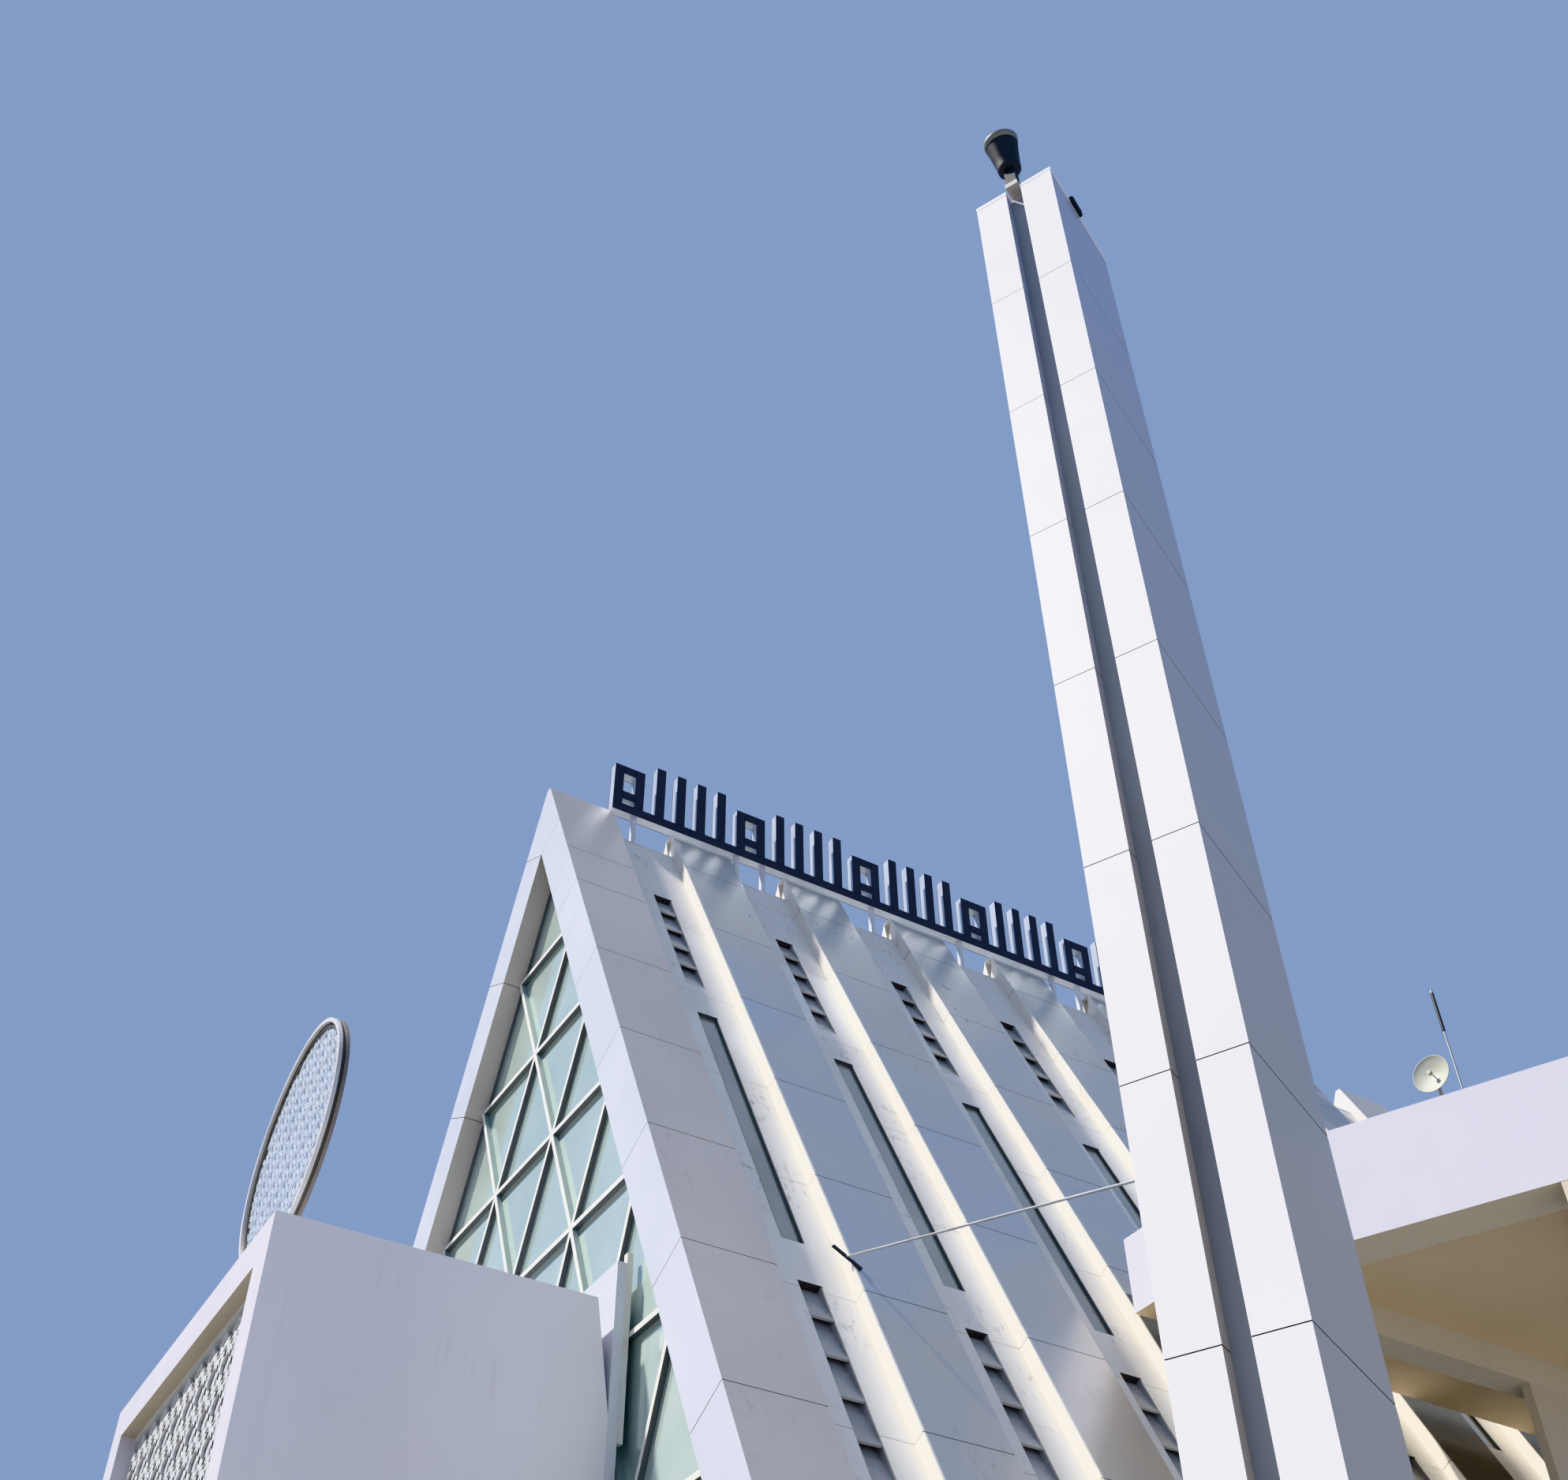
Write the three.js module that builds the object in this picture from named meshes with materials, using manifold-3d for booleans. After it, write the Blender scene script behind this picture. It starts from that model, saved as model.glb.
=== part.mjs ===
// A mosque: a steep A-shaped hall clad in folded white panels, a tall two-leaf minaret,
// a box-shaped portal and a flat-roofed side canopy. Millimetres, +Z up.
// The hall's ridge runs along X, its glazed front gable faces -X, the ground is z = 0,
// and the origin is the middle of the hall's floor at ground level.

import * as THREE from 'three';
import { mergeVertices } from 'three/addons/utils/BufferGeometryUtils.js';
import Module from 'manifold-3d';

const wasm = await Module();
wasm.setup();

// Driving dimensions of the hall
const apexHeight = 24550;
const runPerRise = 0.5;
const roofTopHeight = 24320;
const frameTopHeight = 24420;
const frameDepth = 1347;
const bayPitch = 2543;
const bayCount = 7;
const lastSlotWidth = 980;
const hallLength = 2 * frameDepth + bayCount * bayPitch + lastSlotWidth;
const frontX = -hallLength / 2;
const rearX = hallLength / 2;
const slopeAngle = Math.atan(runPerRise);
const cosSlope = Math.cos(slopeAngle);
const sinSlope = Math.sin(slopeAngle);
const touchGap = 0.3;

// Driving dimensions of the towers around it
const turnAngle = THREE.MathUtils.degToRad(25.5);
const portalSouthY = -4300;
const portalNorthY = 2250;
const portalFrontX = frontX - 4410;
const portalTopZ = 12170;

// Colours, read off the sunlit and shaded faces
const colours = {
  white: { color: 0xe9e9ec, roughness: 0.45, metalness: 0.0 },
  panel: { color: 0xdfe1e4, roughness: 0.42, metalness: 0.0 },
  bar: { color: 0xd9dcda, roughness: 0.4, metalness: 0.1 },
  glass: { color: 0xa9c9c6, roughness: 0.08, metalness: 0.0 },
  charcoal: { color: 0x2f323a, roughness: 0.55, metalness: 0.2 },
  channel: { color: 0x6b7078, roughness: 0.5, metalness: 0.2 },
  screen: { color: 0xb9bec2, roughness: 0.4, metalness: 0.3 },
  concrete: { color: 0xcfcabb, roughness: 0.8, metalness: 0.0 },
  cream: { color: 0xe2dcc4, roughness: 0.5, metalness: 0.0 },
  steel: { color: 0x9a9da0, roughness: 0.4, metalness: 0.6 },
};

const group = new THREE.Group();

// Turns a three.js geometry into a solid that can be joined and cut
function solidOf(geometry) {
  const bare = geometry.clone();
  bare.deleteAttribute('normal');
  bare.deleteAttribute('uv');
  const merged = mergeVertices(bare, 1e-4);
  return new wasm.Manifold(new wasm.Mesh({
    numProp: 3,
    vertProperties: new Float32Array(merged.attributes.position.array),
    triVerts: new Uint32Array(merged.index.array),
  }));
}

// Turns a solid back into a geometry with flat faces
function geometryOf(solid) {
  const mesh = solid.getMesh();
  const geometry = new THREE.BufferGeometry();
  geometry.setAttribute('position', new THREE.BufferAttribute(new Float32Array(mesh.vertProperties), 3));
  geometry.setIndex(new THREE.BufferAttribute(new Uint32Array(mesh.triVerts), 1));
  return geometry;
}

// Moves a solid by a matrix; a mirrored one has its faces turned back outward
function moved(solid, matrix) {
  const geometry = geometryOf(solid).applyMatrix4(matrix);
  if (matrix.determinant() < 0) {
    const corners = geometry.index.array;
    for (let i = 0; i < corners.length; i += 3) {
      [corners[i], corners[i + 1]] = [corners[i + 1], corners[i]];
    }
  }
  return solidOf(geometry);
}

const mirrorAcrossRidge = new THREE.Matrix4().makeScale(1, -1, 1);

// Adds one closed body to the group as a named mesh
function addPart(name, finish, solid) {
  const look = colours[finish];
  const mesh = new THREE.Mesh(geometryOf(solid), new THREE.MeshStandardMaterial(look));
  mesh.name = name;
  group.add(mesh);
}

// A box between two corners
function box(x0, x1, y0, y1, z0, z1) {
  const geometry = new THREE.BoxGeometry(x1 - x0, y1 - y0, z1 - z0);
  geometry.translate((x0 + x1) / 2, (y0 + y1) / 2, (z0 + z1) / 2);
  return solidOf(geometry);
}

// A flat outline pushed out along its third axis
function extrudeOutline(points, depth) {
  const shape = new THREE.Shape(points.map(([a, b]) => new THREE.Vector2(a, b)));
  return new THREE.ExtrudeGeometry(shape, { depth, bevelEnabled: false });
}

// An outline drawn in plan, standing between two heights
function plate(points, z0, z1) {
  return solidOf(extrudeOutline(points, z1 - z0).translate(0, 0, z0));
}

// An outline drawn as (y, z), running between two places along X
function slabAlongX(points, x0, x1) {
  const geometry = extrudeOutline(points, x1 - x0);
  const turn = new THREE.Matrix4().makeBasis(
    new THREE.Vector3(0, 1, 0),
    new THREE.Vector3(0, 0, 1),
    new THREE.Vector3(1, 0, 0),
  );
  return solidOf(geometry.applyMatrix4(turn).translate(x0, 0, 0));
}

// A round bar between two points
function roundBar(start, end, radius, sides = 12) {
  const from = new THREE.Vector3(...start);
  const to = new THREE.Vector3(...end);
  const length = from.distanceTo(to);
  const geometry = new THREE.CylinderGeometry(radius, radius, length, sides);
  const up = new THREE.Vector3(0, 1, 0);
  const turn = new THREE.Quaternion().setFromUnitVectors(up, to.clone().sub(from).normalize());
  geometry.applyQuaternion(turn);
  const middle = from.add(to).multiplyScalar(0.5);
  return solidOf(geometry.translate(middle.x, middle.y, middle.z));
}

// Joins a list of solids into one
function joined(solids) {
  return solids.reduce((whole, next) => whole.add(next));
}

// A slab along X with a list of outlines cut right through it
function piercedAlongX(points, x0, x1, holes) {
  const cutters = holes.map((hole) => slabAlongX(hole, x0 - 10, x1 + 10));
  return cutters.reduce((whole, cutter) => whole.subtract(cutter), slabAlongX(points, x0, x1));
}

// The hall's floor, a slab between the two gable frames
const floorThickness = 300;
const gableFloorHalfWidth = 11200;
const flankThickness = 400;

function addFloor() {
  const betweenFrames = hallLength / 2 - frameDepth - touchGap;
  const upToGlass = hallLength / 2 - latticeInset - barDepth - glassThickness - 2 * touchGap - 1;
  const foot = halfWidthAt(0, apexHeight) - flankThickness / cosSlope - touchGap;
  const head = foot - floorThickness * runPerRise;
  const middle = slabAlongX([[-foot, 0], [foot, 0], [head, floorThickness], [-head, floorThickness]],
    -betweenFrames, betweenFrames);
  const strip = box(-upToGlass, upToGlass, -gableFloorHalfWidth, gableFloorHalfWidth, 0, floorThickness);
  addPart('hall_floor', 'concrete', middle.add(strip));
}

// The white gable frames: two raking legs that meet at the ridge
const frameBandWidth = 870;
const innerApexHeight = apexHeight - frameBandWidth / runPerRise;

// Half width of a triangle whose point is at the given height
function halfWidthAt(z, pointHeight) {
  return (pointHeight - z) * runPerRise;
}

function addGableFrame(name, x0, x1) {
  const foot = halfWidthAt(0, apexHeight);
  const top = halfWidthAt(frameTopHeight, apexHeight);
  const innerFoot = halfWidthAt(0, innerApexHeight);
  const outline = [
    [-foot, 0],
    [-innerFoot, 0],
    [0, innerApexHeight],
    [innerFoot, 0],
    [foot, 0],
    [top, frameTopHeight],
    [-top, frameTopHeight],
  ];
  addPart(name, 'white', slabAlongX(outline, x0, x1));
}

// The glazing bars of a gable: a triangular grid in one plane, then the sheet of glass behind it
const latticeRows = [20650, 18530, 16410, 14300, 11800, 9390, 7000, 4600, 2200, 300];
const barWidth = 80;
const barDepth = 100;
const latticeInset = 310;
const glassThickness = 30;
const doorHalfWidth = 2000;
const doorTopZ = 3400;
const doorMiddleY = (portalSouthY + portalNorthY) / 2;

// A triangle drawn in from its sides by a margin
function insetTriangle(corners, margin) {
  const [a, b, c] = corners.map(([y, z]) => new THREE.Vector2(y, z));
  const sides = [b.distanceTo(c), c.distanceTo(a), a.distanceTo(b)];
  const around = sides[0] + sides[1] + sides[2];
  const middle = new THREE.Vector2(
    (sides[0] * a.x + sides[1] * b.x + sides[2] * c.x) / around,
    (sides[0] * a.y + sides[1] * b.y + sides[2] * c.y) / around,
  );
  const area = Math.abs((b.x - a.x) * (c.y - a.y) - (c.x - a.x) * (b.y - a.y)) / 2;
  const inRadius = (2 * area) / around;
  const keep = 1 - margin / inRadius;
  return [a, b, c].map((p) => [middle.x + (p.x - middle.x) * keep, middle.y + (p.y - middle.y) * keep]);
}

// The panes of the grid, row by row from the point down
function latticePanes() {
  const panes = [];
  const levels = [innerApexHeight, ...latticeRows];
  for (let row = 0; row < latticeRows.length; row += 1) {
    const upper = levels[row];
    const lower = levels[row + 1];
    const upperNodes = nodesAt(upper, row);
    const lowerNodes = nodesAt(lower, row + 1);
    for (let i = 0; i <= row; i += 1) {
      panes.push([[upperNodes[i], upper], [lowerNodes[i], lower], [lowerNodes[i + 1], lower]]);
      if (i < row) {
        panes.push([[upperNodes[i], upper], [lowerNodes[i + 1], lower], [upperNodes[i + 1], upper]]);
      }
    }
  }
  return panes;
}

// Where the bars cross on one level, spread evenly from leg to leg
function nodesAt(z, count) {
  const half = halfWidthAt(z, innerApexHeight);
  if (count === 0) {
    return [0];
  }
  const step = (2 * half) / count;
  return Array.from({ length: count + 1 }, (_, i) => -half + i * step);
}

function gableOutline(bottomZ, clearance) {
  const point = innerApexHeight - clearance * Math.sqrt(1 + 1 / (runPerRise * runPerRise));
  const foot = halfWidthAt(bottomZ, point);
  return [[-foot, bottomZ], [foot, bottomZ], [0, point]];
}

function doorwayCut() {
  return box(frontX - 100, frontX + frameDepth, doorMiddleY - doorHalfWidth, doorMiddleY + doorHalfWidth,
    floorThickness, doorTopZ);
}

function addGableGlazing(end, x0, hasDoorway) {
  const holes = latticePanes().map((pane) => insetTriangle(pane, barWidth / 2));
  let lattice = piercedAlongX(gableOutline(0, touchGap), x0, x0 + barDepth, holes);
  const inward = end === 'front' ? 1 : -1;
  const glassX = inward > 0 ? x0 + barDepth + touchGap : x0 - touchGap - glassThickness;
  let glass = slabAlongX(gableOutline(floorThickness, touchGap), glassX, glassX + glassThickness);
  if (hasDoorway) {
    lattice = lattice.subtract(doorwayCut());
    glass = glass.subtract(doorwayCut());
  }
  addPart(`${end}_glazing_bars`, 'bar', lattice);
  addPart(`${end}_glass`, 'glass', glass);
}

// The folded flanks: one plank a bay, each with a sunk slot strip, a step and a raised panel.
// The plank's own axes are X along the ridge, s down the slope and n inward from the outer plane.
const deckThickness = 200;
const slotDepth = 200;
const stepX = 1260;
const webThickness = 150;
const slotTopHeight = 23700;
const holeStartX = 430;
const holeEndX = 800;
const upperLouvre = { start: 3000, end: 6200, blades: 5 };
const paneSlot = { start: 7150, end: 12880 };
const lowerLouvre = { start: 13720, end: 24900, blades: 16 };
const bladeThickness = 25;
const bladeTilt = THREE.MathUtils.degToRad(72);

// Moves a solid drawn in a plank's axes (X, s, n) to the south flank
const plankAxes = new THREE.Matrix4().makeBasis(
  new THREE.Vector3(1, 0, 0),
  new THREE.Vector3(0, -sinSlope, -cosSlope),
  new THREE.Vector3(0, cosSlope, -sinSlope),
).setPosition(0, 0, apexHeight);

function bayOutline() {
  return [
    [0, slotDepth],
    [stepX, slotDepth],
    [stepX, 0],
    [bayPitch, 0],
    [bayPitch, slotDepth + deckThickness],
    [bayPitch - webThickness, slotDepth + deckThickness],
    [bayPitch - webThickness, deckThickness],
    [stepX + webThickness, deckThickness],
    [stepX + webThickness, slotDepth + deckThickness],
    [0, slotDepth + deckThickness],
  ];
}

function lastBayOutline() {
  const slotEnd = bayPitch + lastSlotWidth;
  const outline = bayOutline();
  outline.splice(4, 1,
    [bayPitch, slotDepth],
    [slotEnd, slotDepth],
    [slotEnd, slotDepth + deckThickness]);
  return outline;
}

// An (X, n) outline run down the slope from s0 to s1
function plankPiece(outline, s0, s1) {
  const geometry = extrudeOutline(outline, s1 - s0);
  const turn = new THREE.Matrix4().makeBasis(
    new THREE.Vector3(1, 0, 0),
    new THREE.Vector3(0, 0, 1),
    new THREE.Vector3(0, -1, 0),
  );
  geometry.applyMatrix4(turn).translate(0, s1, 0);
  return geometry;
}

// What is cut off over a slot, whose own ridge is lower and flat
function ridgeCut(x0, x1) {
  const reach = 1500;
  const n0 = -300;
  const n1 = 700;
  const drop = apexHeight - slotTopHeight;
  const slopeAt = (n) => (drop - n * sinSlope) / cosSlope;
  const outline = [[-reach, n0], [slopeAt(n0), n0], [slopeAt(n1), n1], [-reach, n1]];
  const turn = new THREE.Matrix4().makeBasis(
    new THREE.Vector3(0, 1, 0),
    new THREE.Vector3(0, 0, 1),
    new THREE.Vector3(1, 0, 0),
  );
  return extrudeOutline(outline, x1 - x0).applyMatrix4(turn).translate(x0, 0, 0);
}

function plankBox(x0, x1, s0, s1, n0, n1) {
  const geometry = new THREE.BoxGeometry(x1 - x0, s1 - s0, n1 - n0);
  return geometry.translate((x0 + x1) / 2, (s0 + s1) / 2, (n0 + n1) / 2);
}

function placed(geometry, x0) {
  const moved = geometry.clone().applyMatrix4(plankAxes);
  return solidOf(moved.translate(x0, 0, 0));
}

// The blades of one louvre, each tilted across the slot
function louvreBlades(louvre, holeX) {
  const pitch = (louvre.end - louvre.start) / louvre.blades;
  const reach = deckThickness / 2 - 4;
  const length = 2 * (reach - (bladeThickness / 2) * Math.sin(bladeTilt)) / Math.cos(bladeTilt);
  const blades = [];
  for (let i = 0; i < louvre.blades; i += 1) {
    const middle = louvre.start + (i + 0.5) * pitch;
    const blade = new THREE.BoxGeometry(holeEndX - holeStartX + 2, bladeThickness, length);
    blade.rotateX(bladeTilt);
    blade.translate(holeX + (holeEndX - holeStartX) / 2, middle, slotDepth + deckThickness / 2);
    blades.push(blade);
  }
  return blades;
}

function slotHoles(slotX) {
  const past = 100;
  const n0 = slotDepth - past;
  const n1 = slotDepth + deckThickness + past;
  return [upperLouvre, paneSlot, lowerLouvre].map((part) => plankBox(
    slotX + holeStartX, slotX + holeEndX, part.start, part.end, n0, n1));
}

function southPlank(bay) {
  const isLast = bay === bayCount - 1;
  const x0 = frontX + frameDepth + bay * bayPitch;
  const slopeLength = apexHeight / cosSlope;
  const outline = isLast ? lastBayOutline() : bayOutline();
  const slots = isLast ? [0, bayPitch] : [0];
  const lowered = isLast ? [[-10, stepX], [bayPitch, bayPitch + stepX]] : [[-10, stepX]];
  let plank = placed(plankPiece(outline, -1200, slopeLength + 1200), x0);
  for (const [start, end] of lowered) {
    plank = plank.subtract(placed(ridgeCut(start, end), x0));
  }
  for (const slotX of slots) {
    for (const hole of slotHoles(slotX)) {
      plank = plank.subtract(placed(hole, x0));
    }
    for (const louvre of [upperLouvre, lowerLouvre]) {
      for (const blade of louvreBlades(louvre, slotX + holeStartX)) {
        plank = plank.add(placed(blade, x0));
      }
    }
  }
  const clip = box(x0 + touchGap, x0 + 2 * bayPitch, -14000, -touchGap, 0, roofTopHeight);
  return plank.intersect(clip);
}

function addFlanks() {
  for (let bay = 0; bay < bayCount; bay += 1) {
    const plank = southPlank(bay);
    addPart(`south_roof_bay_${bay + 1}`, 'panel', plank);
    addPart(`north_roof_bay_${bay + 1}`, 'panel', moved(plank, mirrorAcrossRidge));
  }
}

// The glass behind the slots, one sheet to a flank
function addSlotGlass() {
  const overlap = 120;
  const x0 = frontX + frameDepth + 200;
  const x1 = rearX - frameDepth - 100;
  const n0 = slotDepth + deckThickness + touchGap;
  const sheet = placed(plankBox(x0, x1, paneSlot.start - overlap, paneSlot.end + overlap, n0, n0 + 20), 0);
  addPart('south_slot_glass', 'glass', sheet);
  addPart('north_slot_glass', 'glass', moved(sheet, mirrorAcrossRidge));
}

// The crest on the ridge: a rail on posts that carries a row of plain bars and square rings
const crestStartX = frontX + 1300;
const crestEndX = 8000;
const crestRailZ = 24500;
const crestBarWidth = 190;
const crestThickness = 200;
const crestHeight = 1470;
const crestBarPitch = 460;
const crestBarsInMotif = 6;
const crestRingHeight = 1180;
const crestPostSize = 90;
const crestPostPlaces = [-8930, -6630, -6030, -3430, -1230, 1170, 1870, 4200, 6650];

// One motif: a square ring two bars wide, then plain tall bars at an even pitch
function crestMotifBars(x0) {
  const half = crestThickness / 2;
  const ringTop = crestRailZ + crestRingHeight;
  const ringWidth = crestBarPitch + crestBarWidth;
  const bar = (x, z1) => box(x, x + crestBarWidth, -half, half, crestRailZ, z1);
  const cross = (z) => box(x0, x0 + ringWidth, -half, half, z, z + crestBarWidth);
  const bars = [cross(ringTop - crestBarWidth), cross(crestRailZ + 330)];
  for (let i = 0; i < crestBarsInMotif; i += 1) {
    const isRing = i < 2;
    bars.push(bar(x0 + i * crestBarPitch, isRing ? ringTop : crestRailZ + crestHeight));
  }
  return bars;
}

function addCrest() {
  const half = crestThickness / 2;
  const solids = [box(crestStartX, crestEndX, -half, half, crestRailZ, crestRailZ + crestBarWidth)];
  const motif = crestBarsInMotif * crestBarPitch;
  for (let x = crestStartX; x + motif <= crestEndX + crestBarPitch; x += motif) {
    solids.push(...crestMotifBars(x));
  }
  const side = crestPostSize / 2;
  for (const x of crestPostPlaces) {
    solids.push(box(x - side, x + side, -side, side, slotTopHeight + touchGap, crestRailZ + 20));
  }
  addPart('ridge_crest', 'charcoal', joined(solids));
}

// The minaret: two clad leaves with a dark recessed core between them, turned from the hall
const minaretCorner = [-10115, -14980];
const leafWidth = 466;
const channelWidth = 234;
const minaretWidth = 2 * leafWidth + channelWidth;
const minaretDepth = 1733;
const minaretTopZ = 24700;
const channelRecess = 160;
const coreTopZ = minaretTopZ - 60;

// Stands a solid, drawn with depth as its X and front width as its Y, at a turned corner
function atTurnedCorner(solid, corner) {
  const turn = new THREE.Matrix4().makeRotationZ(turnAngle).setPosition(corner[0], corner[1], 0);
  return moved(solid, turn);
}

function atMinaret(solid) {
  return atTurnedCorner(solid, minaretCorner);
}

// A leaf, or the core: a tall box between two places across the front and two in depth
function minaretLeaf(v0, v1, w0, w1, topZ = minaretTopZ) {
  return atMinaret(box(w0, w1, v0, v1, 0, topZ));
}

function addMinaret() {
  const channelStart = leafWidth;
  const channelEnd = leafWidth + channelWidth;
  addPart('minaret_right_leaf', 'white', minaretLeaf(0, channelStart, 0, minaretDepth));
  addPart('minaret_left_leaf', 'white', minaretLeaf(channelEnd, minaretWidth, 0, minaretDepth));
  addPart('minaret_core', 'channel', minaretLeaf(channelStart + touchGap, channelEnd - touchGap,
    channelRecess, minaretDepth - channelRecess, coreTopZ));
}

// The horn that stands up from a bracket on the channel and leans a little over the street,
// and the small speaker that hangs over the right leaf's edge
const hornLength = 620;
const hornMouthRadius = 250;
const hornBackRadius = 165;
const hornRise = THREE.MathUtils.degToRad(72);
const hornBack = [50, 585, 25256];
const bracketHalfWidth = 95;
const bracketStart = -40;
const bracketDepth = 160;
const bracketArmHeight = 100;
const stemInset = 15;
const rearSpeakerStart = 600;
const rearSpeakerLength = 320;
const rearSpeakerWidth = 150;
const rearSpeakerHeight = 160;
const rearSpeakerOverhang = 60;

// The horn's body, its closed back end on the bracket and its mouth on top, made larger by a gap
function hornBody(gap) {
  const geometry = new THREE.CylinderGeometry(
    hornMouthRadius + gap, hornBackRadius + gap, hornLength + 2 * gap, 24);
  geometry.rotateZ(Math.PI / 2).translate(-hornLength / 2, 0, 0);
  return solidOf(geometry.rotateY(hornRise).translate(...hornBack));
}

function addLoudspeakers() {
  const middleV = leafWidth + channelWidth / 2;
  const postStart = channelRecess + 10;
  const postEnd = postStart + bracketDepth;
  const v0 = middleV - bracketHalfWidth;
  const v1 = middleV + bracketHalfWidth;
  const armZ = minaretTopZ + 30;
  const post = box(postStart, postEnd, v0, v1, coreTopZ + touchGap, armZ + bracketArmHeight);
  const arm = box(bracketStart, postEnd, v0, v1, armZ, armZ + bracketArmHeight);
  const stem = box(bracketStart + stemInset, bracketStart + bracketDepth, v0 + stemInset, v1 - stemInset,
    armZ, hornBack[2] + 20);
  const bracket = post.add(arm).add(stem).subtract(hornBody(touchGap));
  addPart('speaker_bracket', 'steel', atMinaret(bracket));
  addPart('loudspeaker', 'charcoal', atMinaret(hornBody(0)));
  const rearFoot = minaretTopZ - rearSpeakerOverhang;
  const rear = box(rearSpeakerStart, rearSpeakerStart + rearSpeakerLength, -rearSpeakerOverhang,
    rearSpeakerWidth - rearSpeakerOverhang, rearFoot, rearFoot + rearSpeakerHeight);
  const leafSpace = minaretLeaf(-touchGap, leafWidth, 0, minaretDepth, minaretTopZ + touchGap);
  addPart('rear_speaker', 'charcoal', atMinaret(rear).subtract(leafSpace));
}

// The portal: a hollow box with a bordered mouth, a patterned screen over the way in,
// and a thin collar wall where it meets the glazing
const portalWall = 300;
const borderWidth = 500;
const borderDepth = 350;
const screenRecess = 200;
const screenThickness = 60;
const screenBottomZ = 3200;
const collarStartX = frontX + 80;
const collarThickness = 140;
const collarTopZ = 12740;

function addPortal() {
  const shellX0 = portalFrontX + borderDepth;
  const shellX1 = collarStartX - touchGap;
  const innerTopZ = portalTopZ - borderWidth;
  const outer = box(shellX0 + touchGap, shellX1, portalSouthY, portalNorthY, 0, portalTopZ);
  const inner = box(shellX0 - 100, shellX1 + 100, portalSouthY + portalWall, portalNorthY - portalWall,
    floorThickness, portalTopZ - portalWall);
  const slantOutline = [[shellX1 + 1, 10700], [shellX1 + 1, portalTopZ + 1], [shellX1 - 240, portalTopZ + 1]];
  const slant = plateAlongY(slantOutline, portalSouthY - 100, portalNorthY + 100);
  addPart('portal_shell', 'white', outer.subtract(inner).subtract(slant));
  const border = box(portalFrontX, shellX0, portalSouthY, portalNorthY, 0, portalTopZ);
  const mouth = box(portalFrontX - 100, shellX0 + 100, portalSouthY + borderWidth, portalNorthY - borderWidth,
    -100, innerTopZ);
  addPart('portal_border', 'white', border.subtract(mouth));
  addPortalScreen(innerTopZ);
  const collar = box(collarStartX, collarStartX + collarThickness, portalSouthY, portalNorthY, 0, collarTopZ);
  const way = box(collarStartX - 100, collarStartX + collarThickness + 100, doorMiddleY - doorHalfWidth,
    doorMiddleY + doorHalfWidth, -100, doorTopZ);
  addPart('portal_collar', 'white', collar.subtract(way));
}

// An outline drawn as (x, z), running between two places along Y
function plateAlongY(points, y0, y1) {
  const geometry = extrudeOutline(points, y1 - y0);
  geometry.rotateX(Math.PI / 2);
  return solidOf(geometry.translate(0, y1, 0));
}

// The screen: a framed field of square holes set on their points
function addPortalScreen(topZ) {
  const x0 = portalFrontX + screenRecess;
  const y0 = portalSouthY + borderWidth + touchGap;
  const y1 = portalNorthY - borderWidth - touchGap;
  const columns = 7;
  const rows = 10;
  const stepY = (y1 - y0) / columns;
  const stepZ = (topZ - touchGap - screenBottomZ) / rows;
  const holes = [];
  for (let c = 0; c < columns; c += 1) {
    for (let r = 0; r < rows; r += 1) {
      const y = y0 + (c + 0.5) * stepY;
      const z = screenBottomZ + (r + 0.5) * stepZ;
      const ry = stepY * 0.42;
      const rz = stepZ * 0.42;
      holes.push([[y, z - rz], [y + ry, z], [y, z + rz], [y - ry, z]]);
    }
  }
  const outline = [[y0, screenBottomZ], [y1, screenBottomZ], [y1, topZ - touchGap], [y0, topZ - touchGap]];
  addPart('portal_screen', 'screen', piercedAlongX(outline, x0, x0 + screenThickness, holes));
}

// The slim upright where the collar meets the glazing
function addGlazingPost() {
  const x0 = collarStartX + collarThickness + touchGap;
  const x1 = frontX + latticeInset - touchGap;
  addPart('glazing_post', 'bar', box(x0, x1, portalSouthY + 20, portalSouthY + 110, 10400, 12900));
}

// The round medallion on the portal's roof: a double rim with a grid of fine bars, on two feet
const medallionX = portalFrontX + 720;
const medallionY = -1100;
const medallionZ = 15000;
const medallionRadius = 1830;
const rimWidth = 150;
const rimDepth = 160;
const gridBar = 50;

function discAlongX(radius, x0, x1) {
  const geometry = new THREE.CylinderGeometry(radius, radius, x1 - x0, 48);
  geometry.rotateZ(Math.PI / 2);
  return solidOf(geometry.translate((x0 + x1) / 2, medallionY, medallionZ));
}

function addMedallion() {
  const x0 = medallionX;
  const x1 = medallionX + rimDepth;
  const middleX = (x0 + x1) / 2;
  const rimHole = discAlongX(medallionRadius - rimWidth, x0 - 10, x1 + 10);
  const rim = discAlongX(medallionRadius, x0, x1).subtract(rimHole);
  const spacing = 560;
  const reach = medallionRadius - rimWidth / 2;
  const bars = [];
  for (const angle of [0, 60, 120]) {
    for (let k = -2; k <= 2; k += 1) {
      const offset = k * spacing;
      const half = Math.sqrt(reach * reach - offset * offset);
      const bar = new THREE.BoxGeometry(gridBar, 2 * half, gridBar);
      bar.translate(0, 0, offset).rotateX(THREE.MathUtils.degToRad(angle));
      bars.push(solidOf(bar.translate(middleX, medallionY, medallionZ)));
    }
  }
  addPart('medallion', 'bar', joined([rim, ...bars]));
  const feet = [-700, 700].map((y) => box(x0 + 40, x1 - 40, medallionY + y - 60, medallionY + y + 60,
    portalTopZ + 20, medallionZ));
  const foot = box(x0 - 40, x1 + 40, medallionY - 900, medallionY + 900, portalTopZ, portalTopZ + 80);
  const stand = joined([foot, ...feet]).subtract(discAlongX(medallionRadius + touchGap, x0 - 50, x1 + 50));
  addPart('medallion_stand', 'channel', stand);
}

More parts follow.
